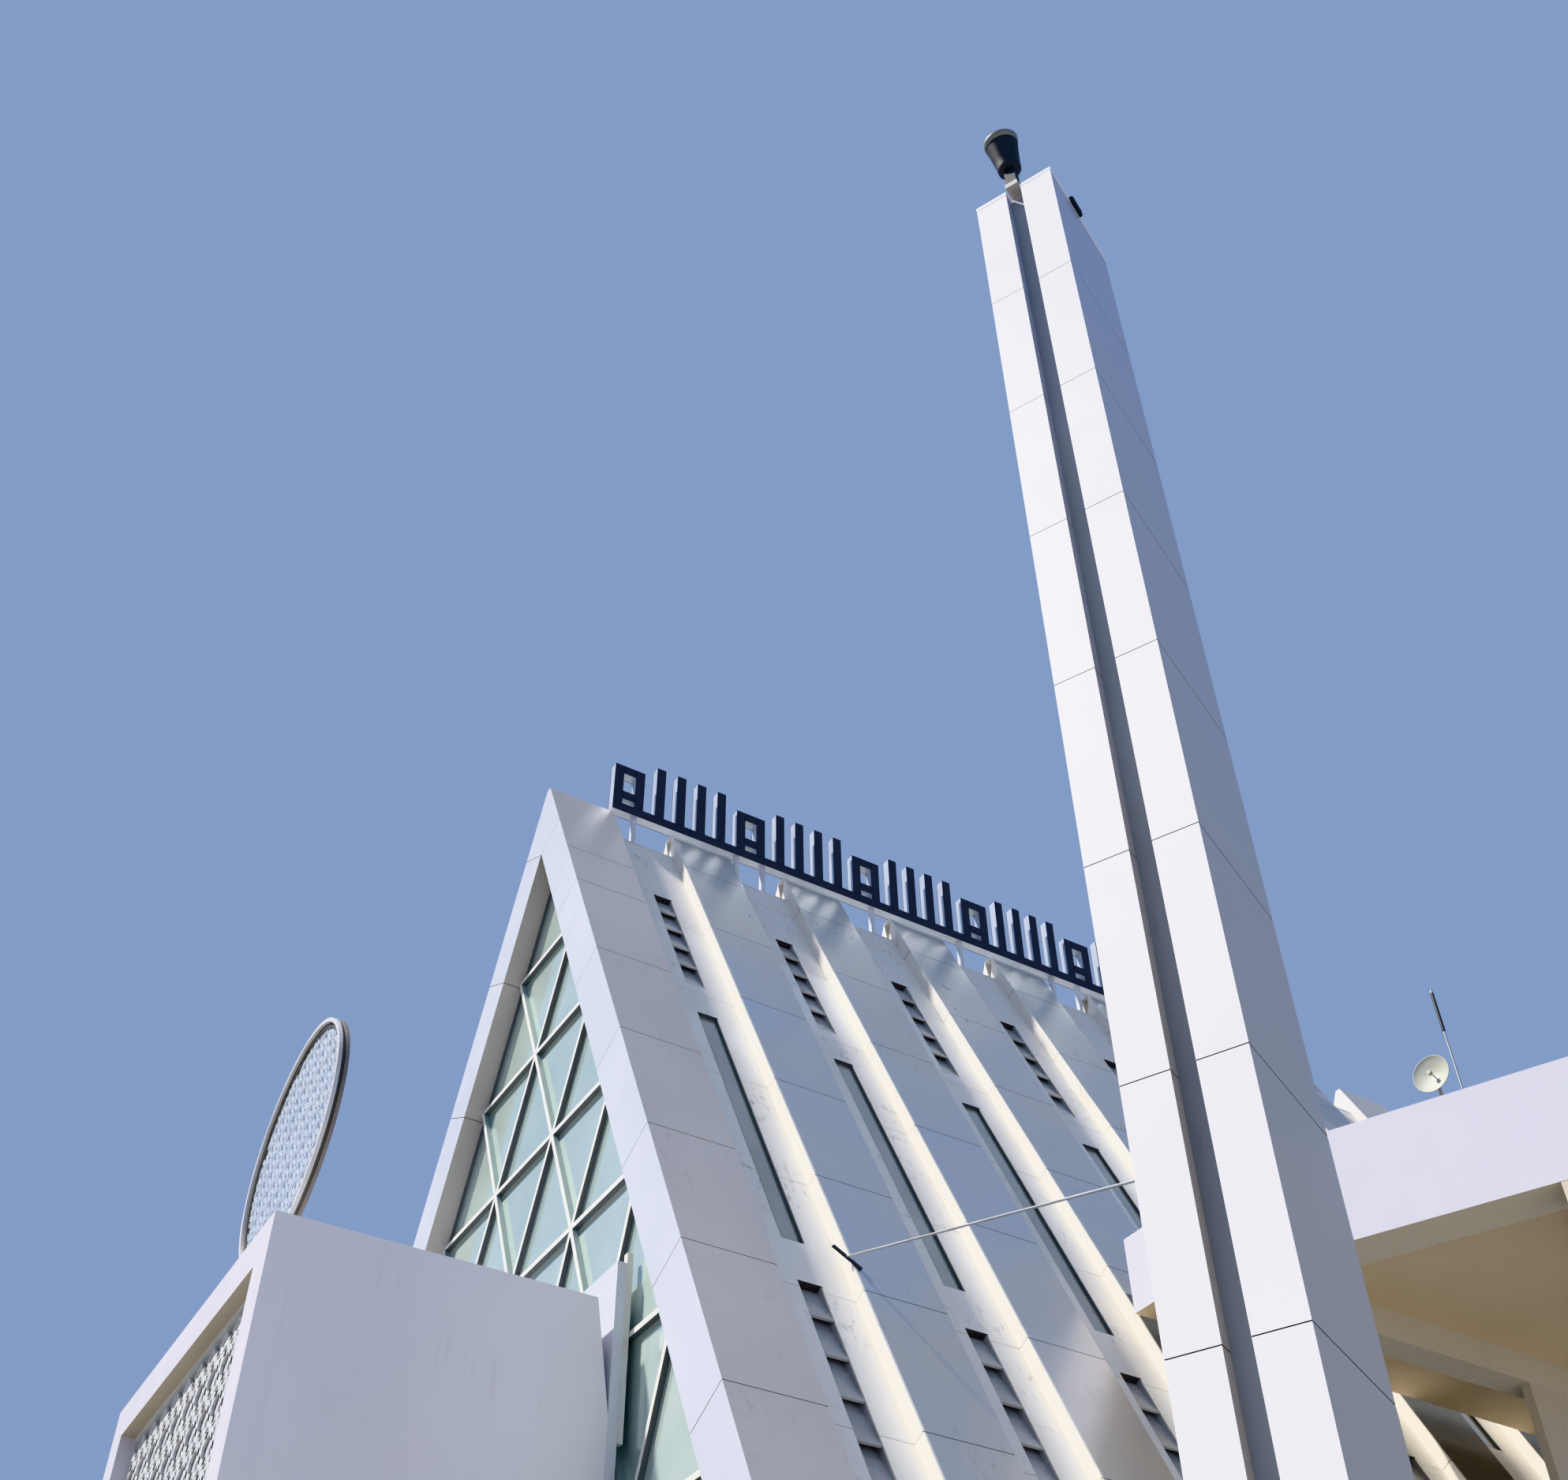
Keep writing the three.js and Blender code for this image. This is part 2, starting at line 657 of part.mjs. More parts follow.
// The side canopy: a concrete roof on beams and columns between the minaret and the south flank
const canopyTopZ = 14390;
const beamBottomZ = 12800;
const ceilingZ = 13250;
const shallowBottomZ = 13680;
const beamWidth = 700;
const columnSize = 600;
const crossBeamY = -7720;
const pierWidth = 900;
const pierThickness = 150;
const canopyCorners = {
  flankNear: [-3280, -5790],
  frontNear: [-3280, -8470],
  frontFar: [-1390, -12370],
  sideFar: [5370, -9130],
  flankFar: [5370, -5790],
};

// A beam in plan from one corner to another, lying to the left of that line
function beamBetween(start, end, width, z0, z1) {
  const along = new THREE.Vector2(end[0] - start[0], end[1] - start[1]).normalize();
  const side = new THREE.Vector2(-along.y, along.x).multiplyScalar(width);
  return plate([
    start,
    end,
    [end[0] + side.x, end[1] + side.y],
    [start[0] + side.x, start[1] + side.y],
  ], z0, z1);
}

// The space of the hall itself, a touch larger, taken out of what leans against it
function flankClearance() {
  const point = apexHeight + touchGap / sinSlope;
  const bottom = -1000;
  const outline = [
    [-halfWidthAt(bottom, point), bottom],
    [halfWidthAt(bottom, point), bottom],
    [0, point],
  ];
  return slabAlongX(outline, frontX - 100, rearX + 100);
}

function addCanopy() {
  const c = canopyCorners;
  const outline = [c.flankNear, c.frontNear, c.frontFar, c.sideFar, c.flankFar];
  const cover = plate(outline, ceilingZ, canopyTopZ);
  const nearBeam = beamBetween(c.flankNear, c.frontNear, 500, shallowBottomZ, canopyTopZ);
  const fascia = beamBetween(c.frontNear, c.frontFar, beamWidth, beamBottomZ, canopyTopZ);
  const sideBeam = beamBetween(c.frontFar, c.sideFar, 500, beamBottomZ, canopyTopZ);
  const endBeam = beamBetween(c.sideFar, c.flankFar, 500, beamBottomZ, canopyTopZ);
  const crossBeam = box(-3000, 5300, crossBeamY, crossBeamY + 450, beamBottomZ, canopyTopZ);
  const beams = [nearBeam, fascia, sideBeam, endBeam, crossBeam];
  const roof = joined([cover, ...beams]).intersect(plate(outline, 0, canopyTopZ + 1));
  addPart('canopy_roof', 'concrete', roof.subtract(flankClearance()));
  const top = beamBottomZ - touchGap;
  const columns = [
    atTurnedCorner(box(0, columnSize, 20, 20 + columnSize, 0, top), c.frontFar),
    box(2270, 2270 + pierWidth, crossBeamY, crossBeamY + pierThickness, 0, top),
    box(4700, 4700 + columnSize, -8900, -8900 + columnSize, 0, top),
  ];
  columns.forEach((column, i) => {
    addPart(`canopy_column_${i + 1}`, 'concrete', column.subtract(flankClearance()));
  });
}

// The small dish and the aerial on the canopy's roof
const dishPlace = [-1330, -10310, 15270];
const dishRise = THREE.MathUtils.degToRad(3);
const dishTurn = THREE.MathUtils.degToRad(11);
const aerialPlace = [-830, -10320];
const aerialTopZ = 16900;

function addRoofAerials() {
  const profile = [[0, 0], [140, 22], [275, 85], [275, 100], [135, 42], [0, 18]];
  const bowl = new THREE.LatheGeometry(profile.map(([r, h]) => new THREE.Vector2(Math.max(r, 0), h)), 32);
  bowl.rotateZ(Math.PI / 2).rotateY(dishRise).rotateZ(dishTurn);
  const dish = solidOf(bowl.translate(...dishPlace));
  const [x, y, z] = dishPlace;
  const stem = roundBar([x + 20, y, canopyTopZ], [x + 20, y, z + 10], 25);
  addPart('satellite_dish', 'cream', dish.add(stem));
  const mast = roundBar([...aerialPlace, canopyTopZ], [...aerialPlace, aerialTopZ], 22);
  addPart('aerial_mast', 'steel', mast);
}

// The stay that steadies the minaret: a wire from a flat bar laid across the first rib's edge
const stayPlace = [-8192, 13250];
const stayBarSize = [480, 50, 30];
const stayBarTurn = THREE.MathUtils.degToRad(48);
const stayEnd = [-9180, -13260, 10000];

function addStay() {
  const [x, s] = stayPlace;
  const [length, width, thickness] = stayBarSize;
  const flatBar = new THREE.BoxGeometry(length, width, thickness);
  flatBar.rotateZ(stayBarTurn).translate(x, s, -thickness / 2 - touchGap);
  addPart('stay_bracket', 'charcoal', placed(flatBar, 0));
  const start = new THREE.Vector3(x, s, -thickness - 2 * touchGap).applyMatrix4(plankAxes);
  const leaf = minaretLeaf(leafWidth + channelWidth, minaretWidth + touchGap, 0, minaretDepth + touchGap);
  const wire = roundBar([start.x, start.y, start.z], stayEnd, 16, 8);
  const top = -thickness - 2 * touchGap;
  const barSpace = placed(plankBox(x - length, x + length, s - length, s + length, top, length), 0);
  addPart('stay_wire', 'steel', wire.subtract(leaf).subtract(barSpace));
}

addFloor();
addGableFrame('front_frame', frontX, frontX + frameDepth - touchGap);
addGableFrame('rear_frame', rearX - frameDepth + touchGap, rearX);
addGableGlazing('front', frontX + latticeInset, true);
addGableGlazing('rear', rearX - latticeInset - barDepth, false);
addFlanks();
addSlotGlass();
addCrest();
addMinaret();
addLoudspeakers();
addPortal();
addGlazingPost();
addMedallion();
addCanopy();
addRoofAerials();
addStay();

export default group;
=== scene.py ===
# A mosque with an A-shaped hall, a slim minaret, a boxed portal and a side canopy.
# Metres, +Z up: the ridge runs along X, the glazed front gable and the portal face -X,
# and the minaret and the canopy stand on the -Y side.

import math
import random

import bmesh
import bpy
from mathutils import Matrix, Vector


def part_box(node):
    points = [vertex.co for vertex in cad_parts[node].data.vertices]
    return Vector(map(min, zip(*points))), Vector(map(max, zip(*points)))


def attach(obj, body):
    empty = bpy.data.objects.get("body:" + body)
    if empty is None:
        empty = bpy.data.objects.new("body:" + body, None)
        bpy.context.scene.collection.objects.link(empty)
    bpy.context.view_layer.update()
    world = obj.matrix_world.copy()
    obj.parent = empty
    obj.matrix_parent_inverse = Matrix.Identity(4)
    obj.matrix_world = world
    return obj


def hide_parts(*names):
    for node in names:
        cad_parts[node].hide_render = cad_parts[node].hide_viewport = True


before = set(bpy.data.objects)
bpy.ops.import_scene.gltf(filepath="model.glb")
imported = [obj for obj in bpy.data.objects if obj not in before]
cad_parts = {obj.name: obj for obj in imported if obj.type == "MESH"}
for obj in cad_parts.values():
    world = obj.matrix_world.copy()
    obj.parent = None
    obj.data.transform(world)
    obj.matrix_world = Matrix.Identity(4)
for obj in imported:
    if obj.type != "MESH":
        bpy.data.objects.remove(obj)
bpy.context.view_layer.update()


# Hall floor
# A power-floated concrete slab between the two gables, poured on the ground.
# It is pale grey with a soft cloudy bloom from the trowel and a dull sheen.
def linear(hex_colour):
    channels = [int(hex_colour[i:i + 2], 16) / 255 for i in (0, 2, 4)]
    curve = [c / 12.92 if c <= 0.04045 else ((c + 0.055) / 1.055) ** 2.4 for c in channels]
    return (*curve, 1.0)


def add_node(tree, kind, settings=None, inputs=None):
    node = tree.nodes.new(kind)
    for name, value in (settings or {}).items():
        setattr(node, name, value)
    for name, value in (inputs or {}).items():
        if isinstance(value, bpy.types.NodeSocket):
            tree.links.new(value, node.inputs[name])
        else:
            node.inputs[name].default_value = linear(value) if isinstance(value, str) else value
    return node


def new_material(name, roughness, metallic=0.0):
    material = bpy.data.materials.new(name)
    material.use_nodes = True
    tree = material.node_tree
    shader = tree.nodes["Principled BSDF"]
    shader.inputs["Roughness"].default_value = roughness
    shader.inputs["Metallic"].default_value = metallic
    return material, tree, shader


# Soft spots from 0 to 1, each about so many metres wide and high. With levels, what lies between
# those two is stretched to the whole of 0 to 1, so that the spots have clearer edges.
def spots(tree, width, height, detail=2.0, seed=0.0, levels=None):
    place = add_node(tree, "ShaderNodeTexCoord").outputs["Object"]
    moved = add_node(tree, "ShaderNodeMapping", inputs={
        "Vector": place, "Location": (seed, seed, seed), "Scale": (1 / width, 1 / width, 1 / height)})
    noise = add_node(tree, "ShaderNodeTexNoise", inputs={
        "Vector": moved.outputs["Vector"], "Scale": 1.0, "Detail": detail}).outputs["Fac"]
    if levels is None:
        return noise
    return add_node(tree, "ShaderNodeMapRange", inputs={
        "Value": noise, "From Min": levels[0], "From Max": levels[1]}).outputs["Result"]


# The first tone shows where the share is 0, and the second where it is 1.
def blend_colour(tree, share, first, second):
    inputs = {0: share, 6: first, 7: second}
    return add_node(tree, "ShaderNodeMix", {"data_type": "RGBA"}, inputs).outputs[2]


def add_bump(tree, shader, height, strength, distance):
    bump = add_node(tree, "ShaderNodeBump", inputs={
        "Height": height, "Strength": strength, "Distance": distance})
    tree.links.new(bump.outputs["Normal"], shader.inputs["Normal"])


def concrete_floor():
    material, tree, shader = new_material("power_floated_concrete", 0.45)
    trowel_cloud = spots(tree, 1.6, 1.6, 6.0, levels=(0.3, 0.7))
    tone = blend_colour(tree, trowel_cloud, "B9B5AC", "CFCBC2")
    tree.links.new(tone, shader.inputs["Base Color"])
    sand_grain = spots(tree, 0.02, 0.02, 3.0)
    add_bump(tree, shader, sand_grain, 0.15, 0.002)
    return material


def dress(node_name, material):
    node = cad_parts[node_name]
    node.data.materials.clear()
    node.data.materials.append(material)


dress("hall_floor", concrete_floor())


# Gable frames
# Steel legs boxed in aluminium composite panels, 2.44 m long with 12 mm sealed joints.
# The face has a lavender white coat, the outer return a warm silver grey, the reveal a dark grey as painted
# shade.
apex_height = 24.55
run_per_rise = 0.5
slope = math.atan(run_per_rise)
cos_slope = math.cos(slope)
sin_slope = math.sin(slope)
panel_length = 2.44
joint_width = 0.012
joint_depth = 0.008
panel_step = panel_length + joint_width
first_joint = 1.588
return_joint = 2.70
joint_places = [first_joint + row * panel_step for row in range(11)]


def panel_tone(tree):
    return add_node(tree, "ShaderNodeAttribute", {"attribute_name": "panel_tone"}).outputs["Fac"]


# The slow waves, about a metre long, that a thin sheet keeps from its making.
def add_sheet_waves(tree, shader):
    add_bump(tree, shader, spots(tree, 0.9, 1.3, 1.0, seed=5.0), 0.12, 0.01)


# A factory coat with a cloud of a second tone, a tone for each panel, and the dirt that rain leaves:
# narrow streaks down the wall, in patches.
def coated_panel(name, light, shade, dirt, roughness, metallic=0.0, dirt_share=0.35, cloud_size=3.0):
    material, tree, shader = new_material(name, roughness, metallic)
    cloud = spots(tree, cloud_size, cloud_size * 1.3, levels=(0.3, 0.7))
    tone = blend_colour(tree, cloud, light, shade)
    tone = blend_colour(tree, panel_tone(tree), tone, shade)
    rain = spots(tree, 0.09, 1.8, 3.0, seed=4.0, levels=(0.54, 0.74))
    patch = spots(tree, 1.1, 0.7, 4.0, seed=9.0, levels=(0.5, 0.75))
    share = rain
    for factor in (patch, dirt_share):
        share = add_node(tree, "ShaderNodeMath", {"operation": "MULTIPLY"}, {0: share, 1: factor}).outputs[0]
    tone = blend_colour(tree, share, tone, dirt)
    tree.links.new(tone, shader.inputs["Base Color"])
    wear = spots(tree, 0.4, 0.6, 3.0, seed=2.0, levels=(0.2, 0.8))
    spread = add_node(tree, "ShaderNodeMapRange", inputs={
        "Value": wear, "To Min": roughness * 0.85, "To Max": roughness * 1.2})
    tree.links.new(spread.outputs["Result"], shader.inputs["Roughness"])
    add_sheet_waves(tree, shader)
    return material


frame_coat = coated_panel("lavender_white_coat", "CBCEDA", "B4B8C5", "96918C", 0.42)
strip_coat = coated_panel("weathered_white_coat", "F6F2E8", "E6E1D8", "8F857A", 0.5, dirt_share=0.8,
                          cloud_size=1.6)
# The silver coat's clouds of blue and warm grey are painted reflection.
silver_coat_painted_reflection = coated_panel("silver_satin_painted_reflection_coat", "C4CAD2", "D3CCC0", "8A857E", 0.3, 0.6, dirt_share=0.4,
                           cloud_size=2.6)
grey_coat = coated_panel("warm_grey_satin_coat", "CFC8C2", "C2BCB7", "938B83", 0.36, 0.2, dirt_share=0.4)
reveal_coat = coated_panel("reveal_grey_painted_shade", "C6C0B9", "B0AAA4", "7F7973", 0.5)
lining_paint = coated_panel("white_lining_paint", "D9D8D4", "CECDCB", "B5B0A8", 0.6)


# A plain coat whose two tones run into each other over the given width and height.
def two_tone_coat(name, light, shade, roughness, width, height):
    material, tree, shader = new_material(name, roughness)
    tone = blend_colour(tree, spots(tree, width, height, 3.0), light, shade)
    tree.links.new(tone, shader.inputs["Base Color"])
    return material


sealant_grey = two_tone_coat("grey_silicone_sealant", "5A5552", "3E3B3A", 0.7, 0.05, 0.2)


def weld_corners(bm):
    bmesh.ops.remove_doubles(bm, verts=bm.verts[:], dist=1e-5)


def new_object(name, data):
    thing = bpy.data.objects.new(name, data)
    bpy.context.scene.collection.objects.link(thing)
    return thing


# Turns a mesh under construction into a piece that rides on the building. A skin made of single
# faces is welded; blocks that only touch each other are not.
def finish_piece(name, bm, materials, replaced=(), weld=False):
    if weld:
        weld_corners(bm)
    bmesh.ops.recalc_face_normals(bm, faces=bm.faces[:])
    mesh = bpy.data.meshes.new(name)
    bm.to_mesh(mesh)
    bm.free()
    for material in materials:
        mesh.materials.append(material)
    piece = new_object(name, mesh)
    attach(piece, "root")
    if replaced:
        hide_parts(*replaced)
    return piece


# Splits faces along a plane, without parting them.
def split_at(bm, point, normal, faces):
    edges = dict.fromkeys(edge for face in faces for edge in face.edges)
    verts = dict.fromkeys(vert for face in faces for vert in face.verts)
    bmesh.ops.bisect_plane(bm, geom=[*verts, *edges, *faces], dist=1e-6, plane_co=point, plane_no=normal)


# Cuts a joint across the faces that wanted() picks, and fills it with the sealant.
def cut_joint(bm, point, normal, wanted, sealant_index):
    half = joint_width / 2
    normal = Vector(normal).normalized()
    for side in (-half, half):
        split_at(bm, Vector(point) + normal * side, normal, [face for face in bm.faces if wanted(face)])
    strip = [face for face in bm.faces
             if wanted(face) and abs((face.calc_center_median() - Vector(point)).dot(normal)) < half * 0.9]
    if strip:
        ring = bmesh.ops.inset_region(bm, faces=strip, thickness=0.0005, depth=-joint_depth)["faces"]
        for face in [*strip, *ring]:
            face.material_index = sealant_index


def give_panel_tones(piece, tone_of):
    tones = piece.data.attributes.new("panel_tone", "FLOAT", "FACE")
    for polygon in piece.data.polygons:
        tones.data[polygon.index].value = tone_of(polygon.center)


# A steady pseudo-random tone for each panel, counted along and down: up to half way to the shade.
def tone_for(*counts):
    return random.Random(repr(tuple(int(count) for count in counts))).random() * 0.5


def down_slope(place):
    return abs(place.y) * sin_slope + (apex_height - place.z) * cos_slope


# A copy of a CAD solid whose faces take their finish from pick(normal, middle).
def skin_of(node_name, pick):
    bm = bmesh.new()
    bm.from_mesh(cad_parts[node_name].data)
    weld_corners(bm)
    bmesh.ops.recalc_face_normals(bm, faces=bm.faces[:])
    bm.normal_update()
    for face in bm.faces:
        face.smooth = False
        face.material_index = pick(face.normal, face.calc_center_median())
    return bm


# Finishes of a gable frame: 0 face, 1 outer return, 2 reveal, 3 inner lining, 4 sealant.
def gable_frame(end, outward):
    def pick(normal, middle):
        if abs(normal.x) > 0.9:
            return 0 if normal.x * outward > 0 else 3
        # Faces that look down, the reveal, take the grey that is painted shade.
        return 2 if normal.z < -0.1 else 1

    bm = skin_of(f"{end}_frame", pick)
    split_at(bm, (0, 0, 0), (0, 1, 0), bm.faces[:])
    # The outer return's top panel reaches further down than the face's.
    for side in (-1, 1):
        down = Vector((0, side * sin_slope, -cos_slope))
        for joint in joint_places:
            for is_return in (False, True):
                place = return_joint if is_return and joint == first_joint else joint
                cut_joint(bm, Vector((0, 0, apex_height)) + down * place, down,
                          lambda face, side=side, is_return=is_return: (
                              face.calc_center_median().y * side > 0
                              and is_return == (face.normal.z > 0.2)), 4)
    piece = finish_piece(f"{end}_frame_cladding", bm,
                         [frame_coat, grey_coat, reveal_coat, lining_paint, sealant_grey],
                         [f"{end}_frame"], weld=True)
    give_panel_tones(piece, lambda at: tone_for(at.y > 0, (down_slope(at) - first_joint) // panel_step))


gable_frame("front", -1)
gable_frame("rear", 1)


# Gable glazing
# Pale aqua mirror-coated glass in a triangular grid of slim, deep aluminium fins: white caps and grey
# sides, paler on the upper sides as painted light and dark on the undersides as painted shade.
# The fins that fall to the south run through the others.
leg_width = 0.87
inner_apex = apex_height - leg_width / run_per_rise
lattice_rows = [20.65, 18.53, 16.41, 14.30, 11.80, 9.39, 7.00, 4.60, 2.20, 0.30]
bar_width = 0.08
bar_depth = 0.10
pane_thickness = 0.024
door_south, door_north, door_top = -3.025, 0.975, 3.40
floor_top = 0.30


def bar_coat():
    material, tree, shader = new_material("white_coated_aluminium", 0.35)
    tone = blend_colour(tree, spots(tree, 0.6, 0.9, 3.0), "E9E9E6", "D6D3CA")
    rain = spots(tree, 0.04, 0.5, 3.0, seed=4.0, levels=(0.55, 0.8))
    tone = blend_colour(tree, rain, tone, "BDB4A4")
    tree.links.new(tone, shader.inputs["Base Color"])
    return material


# A pane that mirrors the sky and lets a little light through; the soft clouds in its colour are painted
# reflection.
def coated_glass(name, light, shade, transmission, metallic):
    material, tree, shader = new_material(name, 0.08, metallic)
    cloud = spots(tree, 1.4, 1.1, 4.0, levels=(0.35, 0.7))
    tone = blend_colour(tree, cloud, shade, light)
    tone = blend_colour(tree, panel_tone(tree), tone, shade)
    tree.links.new(tone, shader.inputs["Base Color"])
    settings = {"Transmission Weight": transmission, "IOR": 1.52, "Coat Weight": 0.6, "Coat Roughness": 0.03}
    for socket, value in settings.items():
        shader.inputs[socket].default_value = value
    add_bump(tree, shader, spots(tree, 0.7, 0.7, 1.0), 0.05, 0.01)
    return material


bar_white = bar_coat()
# The fins' grey sides: painted shade on the undersides, painted light on the upper sides.
painted_shade_fin_grey = two_tone_coat("fin_underside_painted_shade", "5A5E5F", "6A6E6E", 0.5, 0.2, 0.3)
painted_light_fin_grey = two_tone_coat("fin_upper_side_painted_light", "9FAFAD", "8E9C9A", 0.5, 0.2, 0.3)
aqua_glass = coated_glass("pale_aqua_coated_glass", "D3E3DC", "C0D2CC", 0.05, 0.45)


def row_nodes(z, count):
    half = (inner_apex - z) * run_per_rise
    if count == 0:
        return [Vector((0, z))]
    return [Vector((-half + 2 * half * i / count, z)) for i in range(count + 1)]


# The grid's rows of crossings, the bars between them as (family, upper end, lower end), and panes.
def gable_grid():
    levels = [inner_apex, *lattice_rows]
    rows = [row_nodes(z, count) for count, z in enumerate(levels)]
    bars = []
    panes = []
    for count in range(len(rows) - 1):
        upper, lower = rows[count], rows[count + 1]
        for i in range(count + 1):
            panes.append([upper[i], lower[i], lower[i + 1]])
            if i < count:
                panes.append([upper[i], lower[i + 1], upper[i + 1]])
            if i > 0:
                bars.append(("falls_south", upper[i], lower[i]))
            if i < count:
                bars.append(("falls_north", upper[i], lower[i + 1]))
        for i in range(count + 1):
            bars.append(("level", lower[i], lower[i + 1]))
    return bars, panes


# The parts of a bar that lie outside the doorway.
def outside_doorway(start, end):
    shares = [0.0, 1.0]
    for y in (door_south, door_north):
        if (start.x - y) * (end.x - y) < 0:
            shares.append((y - start.x) / (end.x - start.x))
    if (start.y - door_top) * (end.y - door_top) < 0:
        shares.append((door_top - start.y) / (end.y - start.y))
    shares.sort()
    kept = []
    for low, high in zip(shares, shares[1:]):
        middle = start.lerp(end, (low + high) / 2)
        if not (door_south < middle.x < door_north and middle.y < door_top):
            kept.append((start.lerp(end, low), start.lerp(end, high)))
    return kept


# A closed solid between two ends, whose corners are given in the same turn. Its faces are the two
# ends and then the sides, of which each starts at a corner and runs to the next.
def add_prism(bm, ends, material_index=0):
    first, second = ([bm.verts.new(corner) for corner in end] for end in ends)
    faces = [bm.faces.new(first), bm.faces.new(second)]
    for i in range(len(first)):
        j = (i + 1) % len(first)
        faces.append(bm.faces.new([first[i], first[j], second[j], second[i]]))
    for face in faces:
        face.material_index = material_index
    return faces


def add_box(bm, low, high, material_index=0, place=Matrix()):
    (x0, y0, z0), (x1, y1, z1) = low, high
    outline = ((x0, y0), (x1, y0), (x1, y1), (x0, y1))
    return add_prism(bm, [[place @ Vector((x, y, z)) for x, y in outline] for z in (z0, z1)], material_index)


# A bar between two (y, z) points: its faces run from x_face (outside) to x_back.
def add_grid_bar(bm, start, end, width, x_face, x_back, material_index=0):
    along = (end - start).normalized()
    across = Vector((-along.y, along.x)) * (width / 2)
    outline = (start - across, end - across, end + across, start + across)
    return add_prism(bm, [[(x, *point) for point in outline] for x in (x_face, x_back)], material_index)


def gable_bars(end, outward, face_x, with_doorway):
    bars, _ = gable_grid()
    bm = bmesh.new()
    inset = {"falls_south": 0.0, "level": 0.006, "falls_north": 0.012}
    back_x = face_x - outward * bar_depth
    for family, start, finish in bars:
        if finish.y <= floor_top and family == "level":
            continue
        pieces = outside_doorway(start, finish) if with_doorway else [(start, finish)]
        for low_end, high_end in pieces:
            x_out = face_x - outward * inset[family]
            faces = add_grid_bar(bm, low_end, high_end, bar_width, x_out, back_x)
            middle_z = (low_end.y + high_end.y) / 2
            # The lower side takes the dark grey as painted shade, the upper side the pale grey as painted
            # light.
            for face in (faces[2], faces[4]):
                face.material_index = 1 if face.calc_center_median().z < middle_z else 2
    if with_doorway:
        frame_size = 0.09
        frame_top = door_top + frame_size
        for y in (door_south - frame_size, door_north):
            add_box(bm, (face_x, y, floor_top), (back_x, y + frame_size, frame_top))
        add_box(bm, (face_x, door_south, door_top), (back_x, door_north, frame_top))
    # A slim channel holds the glass along both legs, in the fins' painted shade grey.
    channel_width, leg_gap, apex_gap, channel_inset = 0.035, 0.02, 0.06, 0.05
    for side in (-1, 1):
        foot = Vector((side * ((inner_apex - floor_top) * run_per_rise - leg_gap), floor_top))
        add_grid_bar(bm, foot, Vector((0, inner_apex - apex_gap)), channel_width,
                     face_x - outward * channel_inset, back_x, 1)
    finish_piece(f"{end}_triangle_grid", bm, [bar_white, painted_shade_fin_grey, painted_light_fin_grey],
                 [f"{end}_glazing_bars"])


def gable_panes(end, outward, face_x, with_doorway):
    _, panes = gable_grid()
    bm = bmesh.new()
    glass_x = face_x - outward * (bar_depth - 0.004)
    for corners in panes:
        bm.faces.new([bm.verts.new((glass_x, corner.x, max(corner.y, floor_top))) for corner in corners])
    if with_doorway:
        for y in (door_south, door_north):
            split_at(bm, (0, y, 0), (0, 1, 0), bm.faces[:])
        split_at(bm, (0, 0, door_top), (0, 0, 1), bm.faces[:])
        inside = []
        for face in bm.faces:
            centre = face.calc_center_median()
            if door_south < centre.y < door_north and centre.z < door_top:
                inside.append(face)
        bmesh.ops.delete(bm, geom=inside, context="FACES")
    bmesh.ops.split_edges(bm, edges=bm.edges[:])
    for face in bm.faces[:]:
        block = bmesh.ops.extrude_face_region(bm, geom=[face])["geom"]
        moved = [item for item in block if isinstance(item, bmesh.types.BMVert)]
        bmesh.ops.translate(bm, verts=moved, vec=(-outward * pane_thickness, 0, 0))
    piece = finish_piece(f"{end}_glass_panes", bm, [aqua_glass], [f"{end}_glass"])
    tone_width, tone_height = 1.1, 1.2
    give_panel_tones(piece, lambda at: tone_for(at.y // tone_width, at.z // tone_height))


front_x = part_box("front_frame")[0][0]
rear_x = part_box("rear_frame")[1][0]
grid_inset = 0.31
for end, outward, frame_x, has_doorway in (("front", -1, front_x, True), ("rear", 1, rear_x, False)):
    gable_bars(end, outward, frame_x - outward * grid_inset, has_doorway)
    gable_panes(end, outward, frame_x - outward * grid_inset, has_doorway)


# Folded flanks
# Each bay is one plank of steel deck: a sunk strip faced in white panels with its louvres and
# window, a white step, and a raised panel in silver satin composite, 2.44 m long, with sealed joints.
# The raised panels' clouds of blue and warm grey are painted reflection; the top row is painted all warm
# grey.
bay_pitch = 2.543
bay_count = 7
frame_depth = 1.347
step_x = 1.26
slot_depth = 0.2
flank_depth = 0.4
hole_start, hole_end = 0.43, 0.80
upper_louvre = (3.00, 6.20)
slot_window = (7.15, 12.88)
lower_louvre = (13.72, 24.90)
openings = (upper_louvre, slot_window, lower_louvre)
last_slot_width = 0.98
edge_fold = 0.035
canopy_start, canopy_stop, canopy_line = -3.3, 5.4, 12.0
raised_top, slot_top, ground_end = 0.257, 0.8503, apex_height / cos_slope
bays_start = front_x + frame_depth
flanks = ((-1, "south"), (1, "north"))


# A point x along the ridge, s down the slope and n inward from the flank's outer plane, no further
# up than the plane where the two flanks meet, and no further down than the ground.
def on_flank(x, s, n, side):
    s = max(s, n / run_per_rise)
    s = min(s, (apex_height - n * sin_slope) / cos_slope)
    return Vector((x, side * (s * sin_slope - n * cos_slope), apex_height - s * cos_slope - n * sin_slope))


